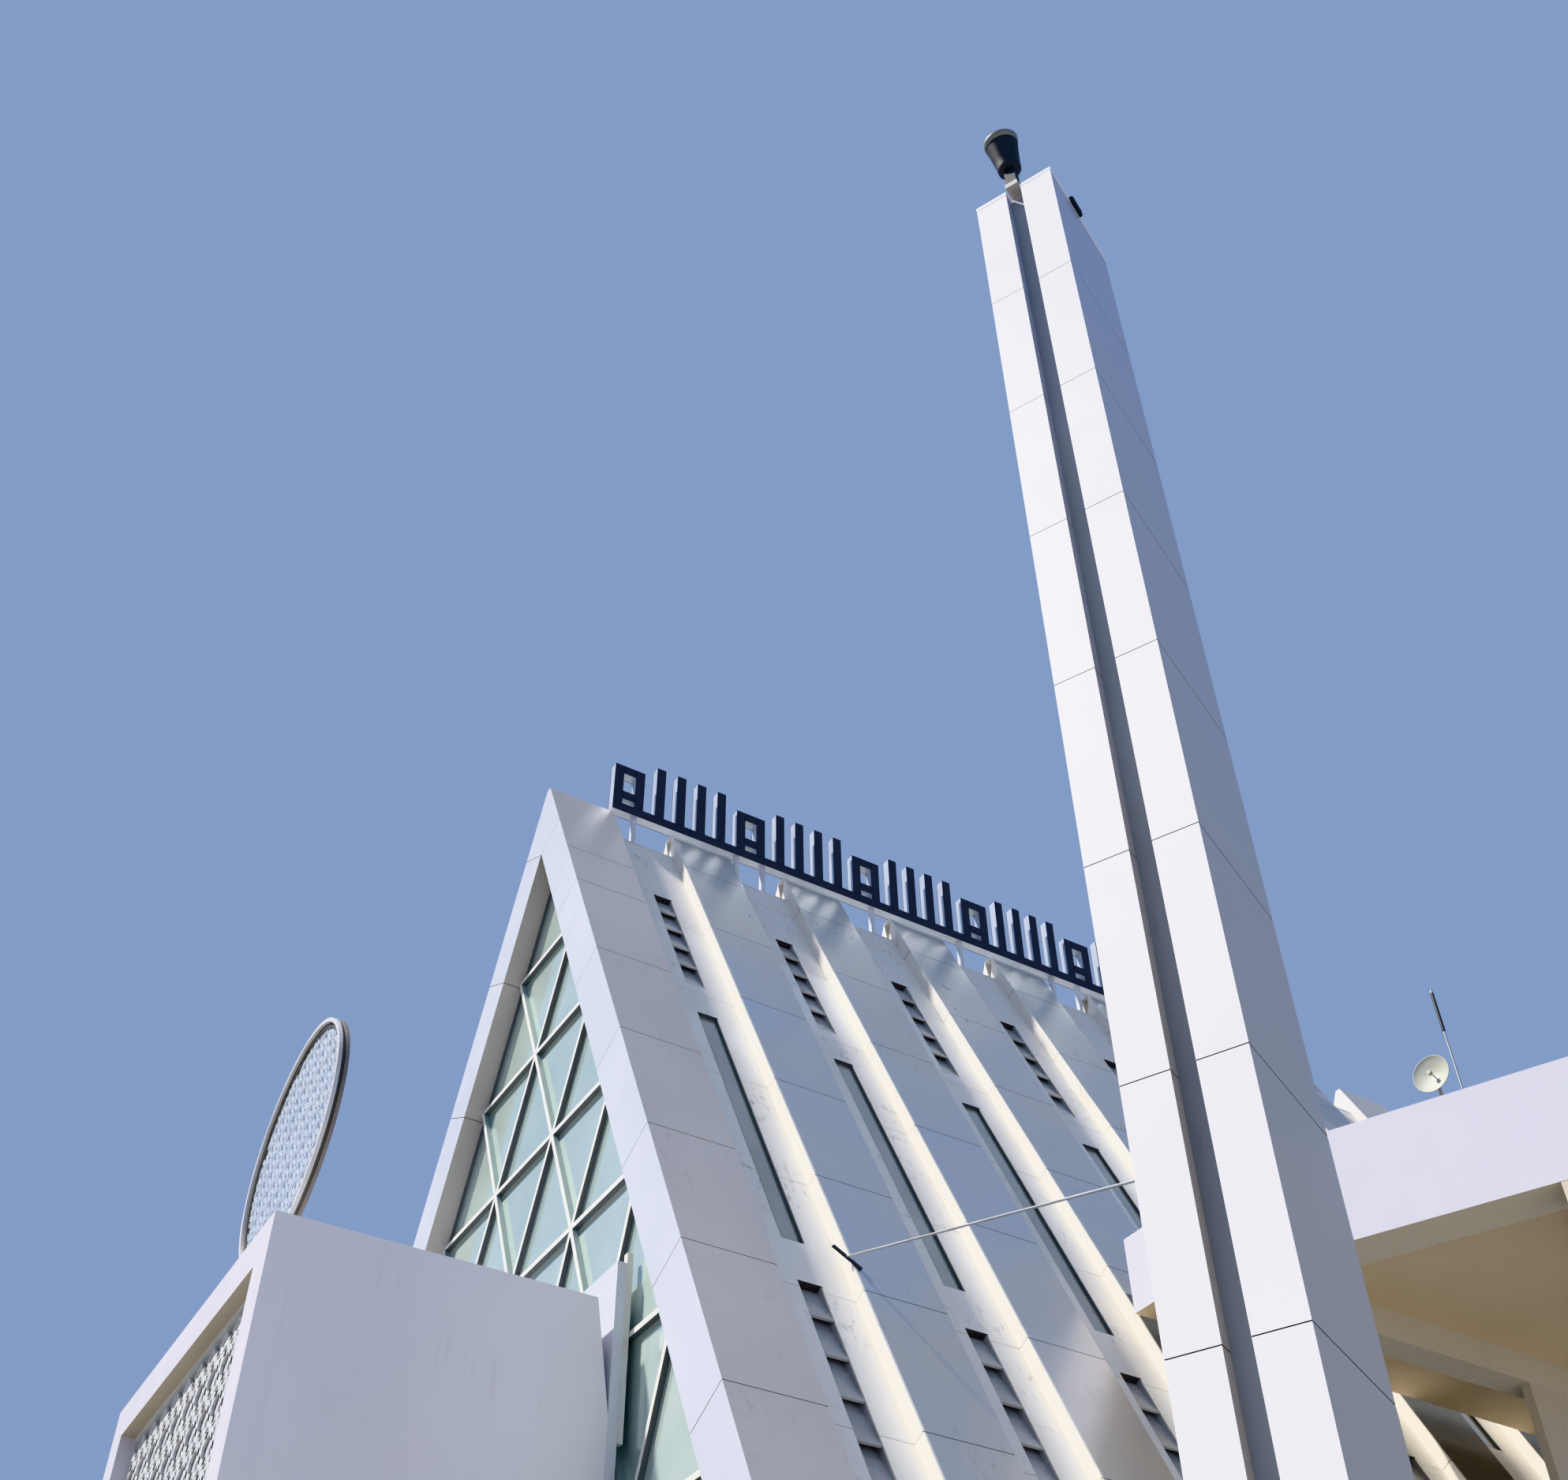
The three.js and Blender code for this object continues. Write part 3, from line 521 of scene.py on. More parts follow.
# A slab over a grid of cells: depth_of() gives each cell's own outer depth, or None for a hole.
# Where two cells differ, a wall joins them, and wall_finish() gives its finish.
def relief(bm, xs, ss, back, depth_of, finish_of, wall_finish, place):
    depth = [[depth_of((x0 + x1) / 2, (s0 + s1) / 2) for s0, s1 in zip(ss, ss[1:])]
             for x0, x1 in zip(xs, xs[1:])]

    def at(i, j):
        inside = 0 <= i < len(xs) - 1 and 0 <= j < len(ss) - 1
        return depth[i][j] if inside else None

    def quad(points, finish):
        corners = []
        for point in points:
            spot = place(*point)
            if not any((spot - other).length < 1e-5 for other in corners):
                corners.append(spot)
        if len(corners) > 2:
            bm.faces.new([bm.verts.new(corner) for corner in corners]).material_index = finish

    for i in range(len(xs) - 1):
        for j in range(len(ss) - 1):
            n = at(i, j)
            if n is None:
                continue
            x0, x1, s0, s1 = xs[i], xs[i + 1], ss[j], ss[j + 1]
            middle = ((x0 + x1) / 2, (s0 + s1) / 2)
            corners = ((x0, s0), (x1, s0), (x1, s1), (x0, s1))
            quad([(*corner, n) for corner in corners], finish_of(*middle))
            quad([(*corner, back) for corner in corners], 2)
            # The neighbours lie across the cell's four edges, in the turn of its corners.
            for edge, (near_i, near_j) in enumerate(((i, j - 1), (i + 1, j), (i, j + 1), (i - 1, j))):
                first, second = corners[edge], corners[(edge + 1) % 4]
                near = at(near_i, near_j)
                if near is None:
                    end = back
                elif near > n:
                    end = near
                else:
                    continue
                finish = wall_finish(near, n, *middle)
                quad([(*first, n), (*second, n), (*second, end), (*first, end)], finish)


# The levels down the slope where a bay changes: its ends, its openings and its joints' edges.
def bay_levels():
    levels = {raised_top, slot_top, canopy_line, ground_end, *upper_louvre, *slot_window, *lower_louvre}
    for joint in joint_places:
        levels.update((joint - joint_width / 2, joint + joint_width / 2))
    return sorted(level for level in levels if raised_top <= level <= ground_end)


# Finishes of a bay: 0 white strip, 1 silver panel, 2 inner lining, 3 sealant, 4 silver panel in painted
# shade.
def bay_piece(bay, side, side_name):
    x0 = bays_start + bay * bay_pitch
    is_last = bay == bay_count - 1
    slots = [0.0, bay_pitch] if is_last else [0.0]
    end = bay_pitch + last_slot_width if is_last else bay_pitch
    xs = {0.0, step_x, step_x + edge_fold, bay_pitch, end}
    for slot_x in slots:
        xs.update((slot_x + hole_start, slot_x + hole_end))
    is_sheltered = side < 0 and x0 + end > canopy_start and x0 < canopy_stop
    ss = bay_levels()

    def is_raised(x):
        return step_x < x < bay_pitch

    def is_hole_column(x):
        return hole_start < (x - bay_pitch if x > bay_pitch else x) < hole_end

    def is_joint(s):
        return any(abs(s - joint) < joint_width / 2 for joint in joint_places)

    def depth_of(x, s):
        if is_raised(x):
            return joint_depth if is_joint(s) else 0.0
        if s < slot_top:
            return None
        if is_hole_column(x) and any(first < s < last for first, last in openings):
            return None
        return slot_depth + (joint_depth if is_joint(s) else 0.0)

    def finish_of(x, s):
        if is_joint(s):
            return 3
        if is_raised(x) and x > step_x + edge_fold:
            # Under the canopy the raised panels take the charcoal coat of painted shade.
            return 4 if is_sheltered and s > canopy_line else 1
        return 0

    # The head of each opening takes the dark sealant as painted shade; its other sides are as white as the
    # strip.
    def wall_finish(near, n, x, s):
        if near is None:
            below = min(level for level in ss if level > s)
            return 3 if is_hole_column(x) and below in [first for first, _ in openings] else 0
        return 3 if is_joint(s) or near - n <= joint_depth else 0

    bm = bmesh.new()
    relief(bm, sorted(xs), ss, flank_depth, depth_of, finish_of, wall_finish,
           lambda x, s, n: on_flank(x0 + x, s, n, side))
    piece = finish_piece(f"{side_name}_bay_{bay + 1}_panels", bm,
                         [strip_coat, silver_coat_painted_reflection, lining_paint, sealant_grey, canopy_painted_shade_coat],
                         [f"{side_name}_roof_bay_{bay + 1}"], weld=True)
    # The top row takes the warm grey tone in full, as painted reflection and light.
    give_panel_tones(piece, lambda at: (
        tone_for(bay, side, (down_slope(at) - first_joint) // panel_step)
        if down_slope(at) > first_joint + panel_step else 1.0))


# The panels under the canopy are painted a dull charcoal grey, as painted shade and painted reflection
# of the canopy's dark ceiling, in a darker coat of their own. Dirt that no rain washes off may be the
# cause, or only the shade: that doesn't show, so they have a darker coat of their own.
canopy_painted_shade_coat = coated_panel("silver_coat_painted_canopy_shade", "7B7C79", "6A6A67", "4E4C49", 0.4, 0.3)

for side, side_name in flanks:
    for bay in range(bay_count):
        bay_piece(bay, side, side_name)


# Louvres
# White coated aluminium blades with a turned-down lip, screwed into a white channel on each side,
# with a grey insect screen behind them.
slot_starts = [bays_start + bay * bay_pitch for bay in range(bay_count + 1)]
blade_tilt = math.radians(81)
blade_middle = slot_depth + 0.056
blade_reach = 0.046
blade_sheet = 0.012
blade_lip = 0.03
louvre_back = slot_depth + 0.115
louvre_channel = 0.02


# A brushed or sprayed paint: a soft cloud of a second tone and a fine orange-peel grain.
def flat_paint(name, light, shade, roughness, metallic=0.0):
    material, tree, shader = new_material(name, roughness, metallic)
    tone = blend_colour(tree, spots(tree, 0.5, 0.75, 4.0, levels=(0.3, 0.7)), light, shade)
    tree.links.new(tone, shader.inputs["Base Color"])
    add_bump(tree, shader, spots(tree, 0.01, 0.01), 0.08, 0.001)
    return material


louvre_white = flat_paint("white_coated_louvre_blade", "B4B3B1", "A2A19E", 0.35)
insect_screen = flat_paint("grey_insect_screen", "A4A6AA", "8E9094", 0.8)


# A bar or sheet along X, from its cross-section as (level down the slope, depth) points.
def add_slope_prism(bm, profile, x0, x1, side, material_index=0):
    add_prism(bm, [[on_flank(x, s, n, side) for s, n in profile] for x in (x0, x1)], material_index)


def slope_rectangle(first, last, front, back):
    return [(first, front), (last, front), (last, back), (first, back)]


# The blade's cross-section: a flat sheet that rises inward, with its lip along the outer edge.
def blade_profile(middle):
    rise = blade_reach * math.tan(blade_tilt)
    outer_s, outer_n = middle + rise, blade_middle - blade_reach
    inner_s, inner_n = middle - rise, blade_middle + blade_reach
    return [(outer_s, outer_n), (inner_s, inner_n), (inner_s + blade_sheet * 3, inner_n),
            (outer_s - blade_sheet, outer_n + blade_sheet * 1.4),
            (outer_s - blade_sheet * 0.4, outer_n + blade_lip),
            (outer_s + blade_sheet * 0.6, outer_n + blade_lip)]


def louvre_piece(side, side_name):
    bm = bmesh.new()
    channel_front, screen_sheet = slot_depth + 0.015, 0.004
    for start in slot_starts:
        x0, x1 = start + hole_start, start + hole_end
        for (first, last), count in ((upper_louvre, 5), (lower_louvre, 16)):
            pitch = (last - first) / count
            for i in range(count):
                profile = blade_profile(first + (i + 0.5) * pitch)
                add_slope_prism(bm, profile, x0 + louvre_channel, x1 - louvre_channel, side)
            screen = slope_rectangle(first, last, louvre_back, louvre_back + screen_sheet)
            add_slope_prism(bm, screen, x0, x1, side, 1)
            channel = slope_rectangle(first, last, channel_front, louvre_back)
            for edge in (x0, x1 - louvre_channel):
                add_slope_prism(bm, channel, edge, edge + louvre_channel, side)
    finish_piece(f"{side_name}_louvres", bm, [louvre_white, insect_screen])


for side, side_name in flanks:
    louvre_piece(side, side_name)


# Slot windows
# One tall grey-green pane a slot in a dark aluminium frame, set just behind the panels' face;
# the frame runs back through the deck to its inner side.
grey_green_glass = coated_glass("grey_green_float_glass", "DCD4BC", "C3BBA6", 0.1, 0.4)
frame_paint = flat_paint("dark_grey_window_frame", "5E6468", "505559", 0.45)
window_frame = 0.028


def window_piece(side, side_name):
    bm = bmesh.new()
    s0, s1 = slot_window
    front, back = slot_depth + 0.02, flank_depth + 0.018
    pane_front = slot_depth + 0.055
    for start in slot_starts:
        x0, x1 = start + hole_start, start + hole_end
        inner_x0, inner_x1 = x0 + window_frame, x1 - window_frame
        for edge, next_edge in ((x0, inner_x0), (inner_x1, x1)):
            add_slope_prism(bm, slope_rectangle(s0, s1, front, back), edge, next_edge, side, 1)
        for first, last in ((s0, s0 + window_frame), (s1 - window_frame, s1)):
            add_slope_prism(bm, slope_rectangle(first, last, front, back), inner_x0, inner_x1, side, 1)
        pane = slope_rectangle(s0 + window_frame, s1 - window_frame, pane_front, pane_front + pane_thickness)
        add_slope_prism(bm, pane, inner_x0, inner_x1, side)
    piece = finish_piece(f"{side_name}_slot_windows", bm, [grey_green_glass, frame_paint],
                         [f"{side_name}_slot_glass"])
    give_panel_tones(piece, lambda at: tone_for(at.x // bay_pitch, side))


for side, side_name in flanks:
    window_piece(side, side_name)


# Ridge caps
# Painted steel sheet, bent to a shallow roof with a lip on both sides and riveted over each raised
# panel's ridge and, lower down, over each slot's. It gives the ridge its stepped white line.
cap_white = flat_paint("white_ridge_flashing", "E9E8E6", "CFCCC6", 0.45)


# A cap from x0 to x1 over a ridge whose deck meets at apex_z: a shallow roof on top_z, with a lip
# that follows the flank down on both sides.
def add_cap(bm, x0, x1, top_z, apex_z, lip):
    edge_rise, middle_rise, clearance = 0.012, 0.03, 0.004
    half = (apex_z - top_z) * run_per_rise + clearance
    foot = half + lip * sin_slope
    foot_z = top_z - lip * cos_slope
    north = [(0, top_z + middle_rise), (half, top_z + edge_rise), (foot, foot_z), (foot - 0.012, foot_z),
             (half - 0.008, top_z + edge_rise - 0.009), (0, top_z + middle_rise - 0.008)]
    outline = north + [(-y, z) for y, z in reversed(north[1:-1])]
    add_prism(bm, [[(x, y, z) for y, z in outline] for x in (x0, x1)])


def ridge_caps():
    bm = bmesh.new()
    overlap, gap = 0.006, 0.008
    for start in slot_starts[:-1]:
        add_cap(bm, start + step_x - overlap, start + bay_pitch + overlap, 24.32, apex_height, 0.07)
    for start in slot_starts:
        width = last_slot_width if start == slot_starts[-1] else step_x - gap
        add_cap(bm, start + gap, start + width, 23.70, apex_height - slot_depth / sin_slope, 0.05)
    finish_piece("ridge_caps", bm, [cap_white])


ridge_caps()


# Crest
# A plain frieze of square rings and bars, box-built from charcoal painted steel plates with pale
# stainless returns, and welded to a rail that stands on slim posts.
crest_paint = flat_paint("charcoal_crest_paint", "343139", "3C3940", 0.5)
return_steel = flat_paint("satin_stainless_return", "C3CBD8", "AEB6C4", 0.3, 0.35)
post_paint = flat_paint("white_post_paint", "D9DCE2", "B9BCC4", 0.45)
crest_rail_z = 24.50
crest_bar = 0.19
crest_half = 0.10
crest_bar_pitch = 0.46
crest_bars_in_motif = 6
crest_ring_height = 1.18
crest_height = 1.47
crest_start = front_x + 1.30
crest_end = 8.00
post_foot = 23.72
post_size = 0.09
post_places = [-8.93, -6.63, -6.03, -3.43, -1.23, 1.17, 1.87, 4.20, 6.65]


# One bar of the crest: stainless returns with a charcoal plate, a little wider, on each side.
def add_crest_bar(bm, low, high):
    plate, lip = 0.006, 0.004
    (x0, z0), (x1, z1) = low, high
    add_box(bm, (x0, -crest_half + plate, z0), (x1, crest_half - plate, z1), 1)
    for y in (-crest_half, crest_half - plate):
        add_box(bm, (x0 - lip, y, z0 - lip), (x1 + lip, y + plate, z1 + lip), 0)


# A square ring, made of two bars with two crosspieces between them, and the taller bars after it.
def crest_motif(bm, x):
    ring_top = crest_rail_z + crest_ring_height
    ring_bottom = crest_rail_z + 0.33
    for z in (ring_top - crest_bar, ring_bottom):
        add_crest_bar(bm, (x + crest_bar, z), (x + crest_bar_pitch, z + crest_bar))
    for i in range(crest_bars_in_motif):
        top = ring_top if i < 2 else crest_rail_z + crest_height
        left = x + i * crest_bar_pitch
        add_crest_bar(bm, (left, crest_rail_z + crest_bar), (left + crest_bar, top))


def crest_piece():
    bm = bmesh.new()
    add_crest_bar(bm, (crest_start, crest_rail_z), (crest_end, crest_rail_z + crest_bar))
    motif = crest_bars_in_motif * crest_bar_pitch
    x = crest_start
    while x + motif <= crest_end + crest_bar_pitch:
        crest_motif(bm, x)
        x += motif
    # Each post has a thin square foot plate on the slot's cap.
    half, plate_z, plate = post_size / 2, post_foot + 0.025, 0.012
    for post_x in post_places:
        add_box(bm, (post_x - half, -half, post_foot), (post_x + half, half, crest_rail_z), 2)
        add_box(bm, (post_x - post_size, -post_size, plate_z),
                (post_x + post_size, post_size, plate_z + plate), 2)
    finish_piece("crest_frieze", bm, [crest_paint, return_steel, post_paint], ["ridge_crest"])


crest_piece()


# Minaret
# Two steel leaves boxed in composite panels, one panel wide and one storey tall: the faces are
# white, the long sides a satin coat painted blue grey high up and beige low down, as painted sky
# light and ground bounce. A recessed channel of grey coated sheet lies between them, and a folded
# white flashing tops each leaf.
minaret_corner = Vector((-10.115, -14.98, 0))
turn_angle = math.radians(25.5)
at_minaret = Matrix.Translation(minaret_corner) @ Matrix.Rotation(turn_angle, 4, "Z")
leaf_width = 0.466
channel_width = 0.234
minaret_depth = 1.733
minaret_top = 24.70
minaret_joints = [22.19, 19.73, 17.31, 14.86, 12.38, 9.96, 7.55, 5.11, 2.67, 0.23]


# The long sides' coat: painted light that blends from a blue grey for sky light at the top to a beige for
# ground bounce at the foot.
def weathered_side():
    material, tree, shader = new_material("satin_side_coat_painted_light", 0.38, 0.2)
    place = add_node(tree, "ShaderNodeTexCoord").outputs["Object"]
    height = add_node(tree, "ShaderNodeSeparateXYZ", inputs={0: place}).outputs["Z"]
    cloud, cloud_shift = spots(tree, 2.5, 3.5), 5.0
    shifted = add_node(tree, "ShaderNodeMath", {"operation": "MULTIPLY_ADD"},
                       {0: cloud, 1: cloud_shift, 2: height}).outputs[0]
    painted_sky_light_share = add_node(tree, "ShaderNodeMapRange", inputs={
        "Value": shifted, "From Min": 11.0, "From Max": 25.0}).outputs["Result"]
    tone = blend_colour(tree, painted_sky_light_share, "BDB8B2", "A9B2C8")
    tree.links.new(tone, shader.inputs["Base Color"])
    add_sheet_waves(tree, shader)
    return material


def minaret_leaf(name, v0, v1):
    node_name = f"minaret_{name}_leaf"
    across = Vector((-math.sin(turn_angle), math.cos(turn_angle), 0))
    bm = skin_of(node_name, lambda normal, middle: 1 if abs(normal.dot(across)) > 0.9 else 0)
    for z in minaret_joints:
        cut_joint(bm, Vector((0, 0, z)), (0, 0, 1), lambda face: abs(face.normal.z) < 0.1, 2)
    piece = finish_piece(f"minaret_{name}_leaf_cladding", bm, [minaret_white, side_coat, sealant_grey],
                         [node_name], weld=True)
    give_panel_tones(piece, lambda at: tone_for(v0 > 0, at.z // panel_length))
    cap = bmesh.new()
    lip, sheet = 0.06, 0.006
    add_box(cap, (-sheet, v0 - sheet, minaret_top - lip),
            (minaret_depth + sheet, v1 + sheet, minaret_top + sheet), 0, at_minaret)
    finish_piece(f"minaret_{name}_leaf_flashing", cap, [minaret_white])


minaret_white = coated_panel("clean_white_coat", "EEECEE", "E2E0E4", "B5ADA2", 0.42, dirt_share=0.2)
side_coat = weathered_side()
grey_sheet = coated_panel("grey_coated_sheet", "979CA3", "868B93", "5E5C5B", 0.45)
minaret_leaf("right", 0.0, leaf_width)
minaret_leaf("left", leaf_width + channel_width, 2 * leaf_width + channel_width)
dress("minaret_core", grey_sheet)


# Loudspeakers
# A reflex horn of spun aluminium that stands up from a painted steel arm and leans a little over the
# street: a round driver can below, a flared bell with a worn rim, and the second bell in its mouth.
# The small rear speaker is a moulded box that hangs over the right leaf's edge.
horn_slate = flat_paint("slate_horn_paint", "232731", "1B1E26", 0.6)
horn_rim = flat_paint("worn_horn_rim", "7C807E", "646866", 0.5)
horn_throat = flat_paint("dark_olive_throat", "34362A", "26271F", 0.7)
arm_paint = flat_paint("grey_beige_arm_paint", "BFB9B4", "A6A09B", 0.5)
horn_length = 0.62
horn_mouth = 0.25
horn_back = 0.165
horn_lean = math.radians(-18)
horn_foot = Matrix.Translation((0.05, 0.585, 25.256)) @ Matrix.Rotation(horn_lean, 4, "Y")


# A skin turned about the Z axis of its place, from its profile as (height, radius) points. A closed
# profile, whose last point joins its first, makes a ring.
def add_turned(bm, profile, place, material_index=0, sides=48, closed=False):
    spokes = []
    for i in range(sides):
        turn = place @ Matrix.Rotation(2 * math.pi * i / sides, 4, "Z")
        spokes.append([bm.verts.new(turn @ Vector((radius, 0, height))) for height, radius in profile])
    for i in range(sides):
        first, second = spokes[i - 1], spokes[i]
        for j in range(0 if closed else 1, len(profile)):
            face = bm.faces.new([first[j - 1], first[j], second[j], second[j - 1]])
            face.material_index = material_index
            face.smooth = not closed


def horn_piece():
    bm = bmesh.new()
    back = [(0.0, 0.001), (0.0, horn_back - 0.02), (0.02, horn_back), (0.09, horn_back + 0.009)]
    bell = [(0.10, 0.173), (0.22, 0.189), (0.34, 0.206), (0.45, 0.223), (0.55, 0.239),
            (horn_length, horn_mouth)]
    lining = [(height - 0.004, radius - 0.010) for height, radius in reversed(bell)]
    worn_band = [(-0.10, -0.017), (-0.10, -0.010), (-0.03, 0.002), (-0.006, 0.006), (0, 0), (-0.004, -0.026)]
    rim = [(horn_length + rise, horn_mouth + out) for rise, out in worn_band]
    inner_bell = [(0.14, 0.030), (0.28, 0.034), (0.36, 0.045), (0.42, 0.060), (0.46, 0.078), (0.464, 0.070),
                  (0.42, 0.050), (0.40, 0.001)]
    skins = (([*back, *bell], 0), (rim, 1), ([*lining, (0.108, 0.001)], 2), (inner_bell, 2))
    for profile, material_index in skins:
        add_turned(bm, profile, at_minaret @ horn_foot, material_index)
    finish_piece("loudspeaker_horn", bm, [horn_slate, horn_rim, horn_throat],
                 ["loudspeaker"], weld=True)


# The cabinet, with a grille of slats set a little into its front.
def rear_speaker():
    bm = bmesh.new()
    rim, grille_inset, slats, slat_share = 0.016, 0.004, 7, 0.6
    w0, w1, v0, v1 = 0.605, 0.915, -0.058, 0.088
    z0, z1 = minaret_top - 0.058, minaret_top + 0.098
    add_box(bm, (w0 + rim, v0, z0), (w1, v1, z1), 0, at_minaret)
    bmesh.ops.bevel(bm, geom=bm.edges[:], offset=0.012, segments=2, affect="EDGES")
    pitch = (z1 - z0 - 2 * rim) / slats
    for i in range(slats):
        z = z0 + rim + i * pitch
        add_box(bm, (w0 + grille_inset, v0 + rim, z),
                (w0 + rim + grille_inset, v1 - rim, z + pitch * slat_share), 1, at_minaret)
    finish_piece("rear_speaker_cabinet", bm, [horn_slate, horn_throat], ["rear_speaker"])


# The arm is painted a light grey; the clamp on it that grips the horn is as dark as the horn.
def speaker_bracket():
    clamp_start = 24.835
    bm = skin_of("speaker_bracket", lambda normal, middle: 1 if middle.z > clamp_start else 0)
    finish_piece("speaker_arm_and_clamp", bm, [arm_paint, horn_slate],
                 ["speaker_bracket"])


horn_piece()
rear_speaker()
speaker_bracket()


# Portal
# A boxed way in: a plastered and painted shell, whose paint also covers the border's sides, coated
# panels on the border's face, and a wall of white panels where it meets the gable.
portal_south, portal_north = -4.30, 2.25
portal_front = front_x - 4.41
portal_top = 12.17
border_width = 0.50
shell_paint = coated_panel("lavender_grey_render_paint", "EAE6EA", "E1DDE2", "A9A4A0", 0.55, dirt_share=0.25)
border_coat = coated_panel("pink_white_border_coat", "D5D2D9", "C8C5CE", "9C958F", 0.42, dirt_share=0.4)
soffit_coat = coated_panel("beige_soffit_paint", "B9AF9D", "A79E8D", "8A8172", 0.6)
portal_white = coated_panel("white_collar_coat", "D4D6E0", "C6C9D4", "96918C", 0.42)


def portal_border():
    portal_middle = (portal_south + portal_north) / 2

    def pick(normal, middle):
        if abs(normal.y) > 0.9 and normal.y * (middle.y - portal_middle) > 0:
            return 2
        return 1 if normal.z < -0.5 and middle.z > portal_top / 2 else 0

    bm = skin_of("portal_border", pick)
    piece = finish_piece("portal_border_panels", bm, [border_coat, soffit_coat, shell_paint],
                         ["portal_border"], weld=True)
    give_panel_tones(piece, lambda at: tone_for(at.z // panel_length, at.y > 0))


portal_border()
dress("portal_shell", shell_paint)
dress("portal_collar", portal_white)
dress("glazing_post", bar_white)


# Portal screen
# Flat silver-grey metal bars welded into a net of eight-pointed stars: in each square of the net
# stand two crossed squares, tied to the next ones by short diagonals. A grey sheet closes its back.
screen_paint = flat_paint("silver_grey_screen_paint", "CDCECF", "BCBDBE", 0.4)
backing_paint = flat_paint("grey_backing_sheet", "A9A9AA", "9B9B9B", 0.6)
screen_x = portal_front + 0.20
screen_bottom = 3.20
screen_columns = 11
star_bar = 0.07
weld_step = 0.0015


# The net's bars as (start, end) points of y and z: in each cell a level square and a turned one,
# whose corners reach the cell's sides, and a short tie from each of the level square's corners.
def star_net(cell, y0, z0, columns, rows):
    bars = []
    radius = cell / 2
    corner = radius / math.sqrt(2)
    for column in range(columns):
        for row in range(rows):
            middle = Vector((y0 + (column + 0.5) * cell, z0 + (row + 0.5) * cell))
            level = [middle + Vector(p) * corner for p in ((-1, -1), (1, -1), (1, 1), (-1, 1))]
            turned = [middle + Vector(p) * radius for p in ((-1, 0), (0, -1), (1, 0), (0, 1))]
            for ring in (level, turned):
                bars.extend((ring[i], ring[(i + 1) % 4]) for i in range(4))
            bars.extend((point, middle + (point - middle) * math.sqrt(2)) for point in level)
    return bars


# Bars that cross lie a step apart in depth, so that their faces never fall together.
def add_net_bar(bm, number, start, end, width, x, thickness, material_index=0):
    x += weld_step * (number % 4)
    add_grid_bar(bm, start, end, width, x, x + thickness, material_index)


def portal_screen():
    bm = bmesh.new()
    y0, y1 = portal_south + border_width, portal_north - border_width
    z0, z1 = screen_bottom, portal_top - border_width
    cell = (y1 - y0) / screen_columns
    rows = round((z1 - z0) / cell)
    bar_thickness = 0.035
    for number, (start, end) in enumerate(star_net(cell, y0, z0, screen_columns, rows)):
        if max(start.y, end.y) <= z1:
            add_net_bar(bm, number, start, end, star_bar, screen_x, bar_thickness)
    rim, rim_front, rim_back = star_bar, screen_x - 0.004, screen_x + 0.06
    for a, b in (((y0, z0), (y0 + rim, z1)), ((y1 - rim, z0), (y1, z1)),
                 ((y0 + rim, z0), (y1 - rim, z0 + rim)), ((y0 + rim, z1 - rim), (y1 - rim, z1))):
        add_box(bm, (rim_front, *a), (rim_back, *b))
    sheet, sheet_back = 0.008, screen_x + 0.052
    add_box(bm, (sheet_back - sheet, y0, z0), (sheet_back, y1, z1), 1)
    finish_piece("portal_star_screen", bm, [screen_paint, backing_paint], ["portal_screen"])


portal_screen()


# Medallion
# Two rolled steel rims, one in front of the other with a gap between, that hold a fine net of
# stars; it stands on two feet on the portal's roof. The gap is painted dark and the back rim brown
# grey, as painted shade.
rim_white = flat_paint("white_rim_paint", "CFCFD3", "BBB9B8", 0.4)
groove_painted_shade = flat_paint("olive_groove_painted_shade", "5E5B50", "4C4A42", 0.5)
rim_back_painted_shade = flat_paint("rim_back_brown_grey_painted_shade", "8A827C", "756E69", 0.5)
net_steel = flat_paint("pale_steel_net", "D3DBE6", "C2CBD8", 0.35, 0.2)
foot_paint = flat_paint("grey_foot_paint", "6B6E74", "5A5D62", 0.5)
medallion_middle = Vector((portal_front + 0.72, -1.10, 15.0))
medallion_radius = 1.83
medallion_depth = 0.16


# The part of a bar that lies inside the circle, or None.
def inside_circle(start, end, middle, radius):
    along = end - start
    away = start - middle
    a, b, c = along.dot(along), 2 * along.dot(away), away.dot(away) - radius * radius
    under = b * b - 4 * a * c
    if under <= 0:
        return None
    low = max(0.0, (-b - math.sqrt(under)) / (2 * a))
    high = min(1.0, (-b + math.sqrt(under)) / (2 * a))
    return (start + along * low, start + along * high) if high - low > 0.02 else None


def medallion():
    bm = bmesh.new()
    facing = Matrix.Translation(medallion_middle) @ Matrix.Rotation(math.radians(90), 4, "Y")
    rim = 0.055
    # Each ring: how far it starts and ends inside the outer edge, its front, its back, its finish.
    for inner, outer, x0, x1, finish in (
            (0.045, 0.016, 0.01, medallion_depth - 0.01, 1), (0.06, 0.0, 0.0, rim, 0),
            (0.06, 0.0, medallion_depth - rim, medallion_depth, 3), (0.13, 0.058, 0.045, 0.085, 1)):
        inner_radius, outer_radius = medallion_radius - inner, medallion_radius - outer
        profile = [(x0, inner_radius), (x0, outer_radius), (x1, outer_radius), (x1, inner_radius)]
        add_turned(bm, profile, facing, finish, sides=96, closed=True)
    cell, count = 0.305, 13
    net_bar, net_thickness = 0.036, 0.03
    net_x, net_reach = medallion_middle.x + 0.07, medallion_radius - 0.12
    plane = medallion_middle.yz
    corner = plane - Vector((count, count)) * (cell / 2)
    for number, (start, end) in enumerate(star_net(cell, corner.x, corner.y, count, count)):
        kept = inside_circle(start, end, plane, net_reach)
        if kept:
            add_net_bar(bm, number, *kept, net_bar, net_x, net_thickness, 2)
    finish_piece("medallion_net", bm, [rim_white, groove_painted_shade, net_steel, rim_back_painted_shade],
                 ["medallion"])


medallion()
dress("medallion_stand", foot_paint)


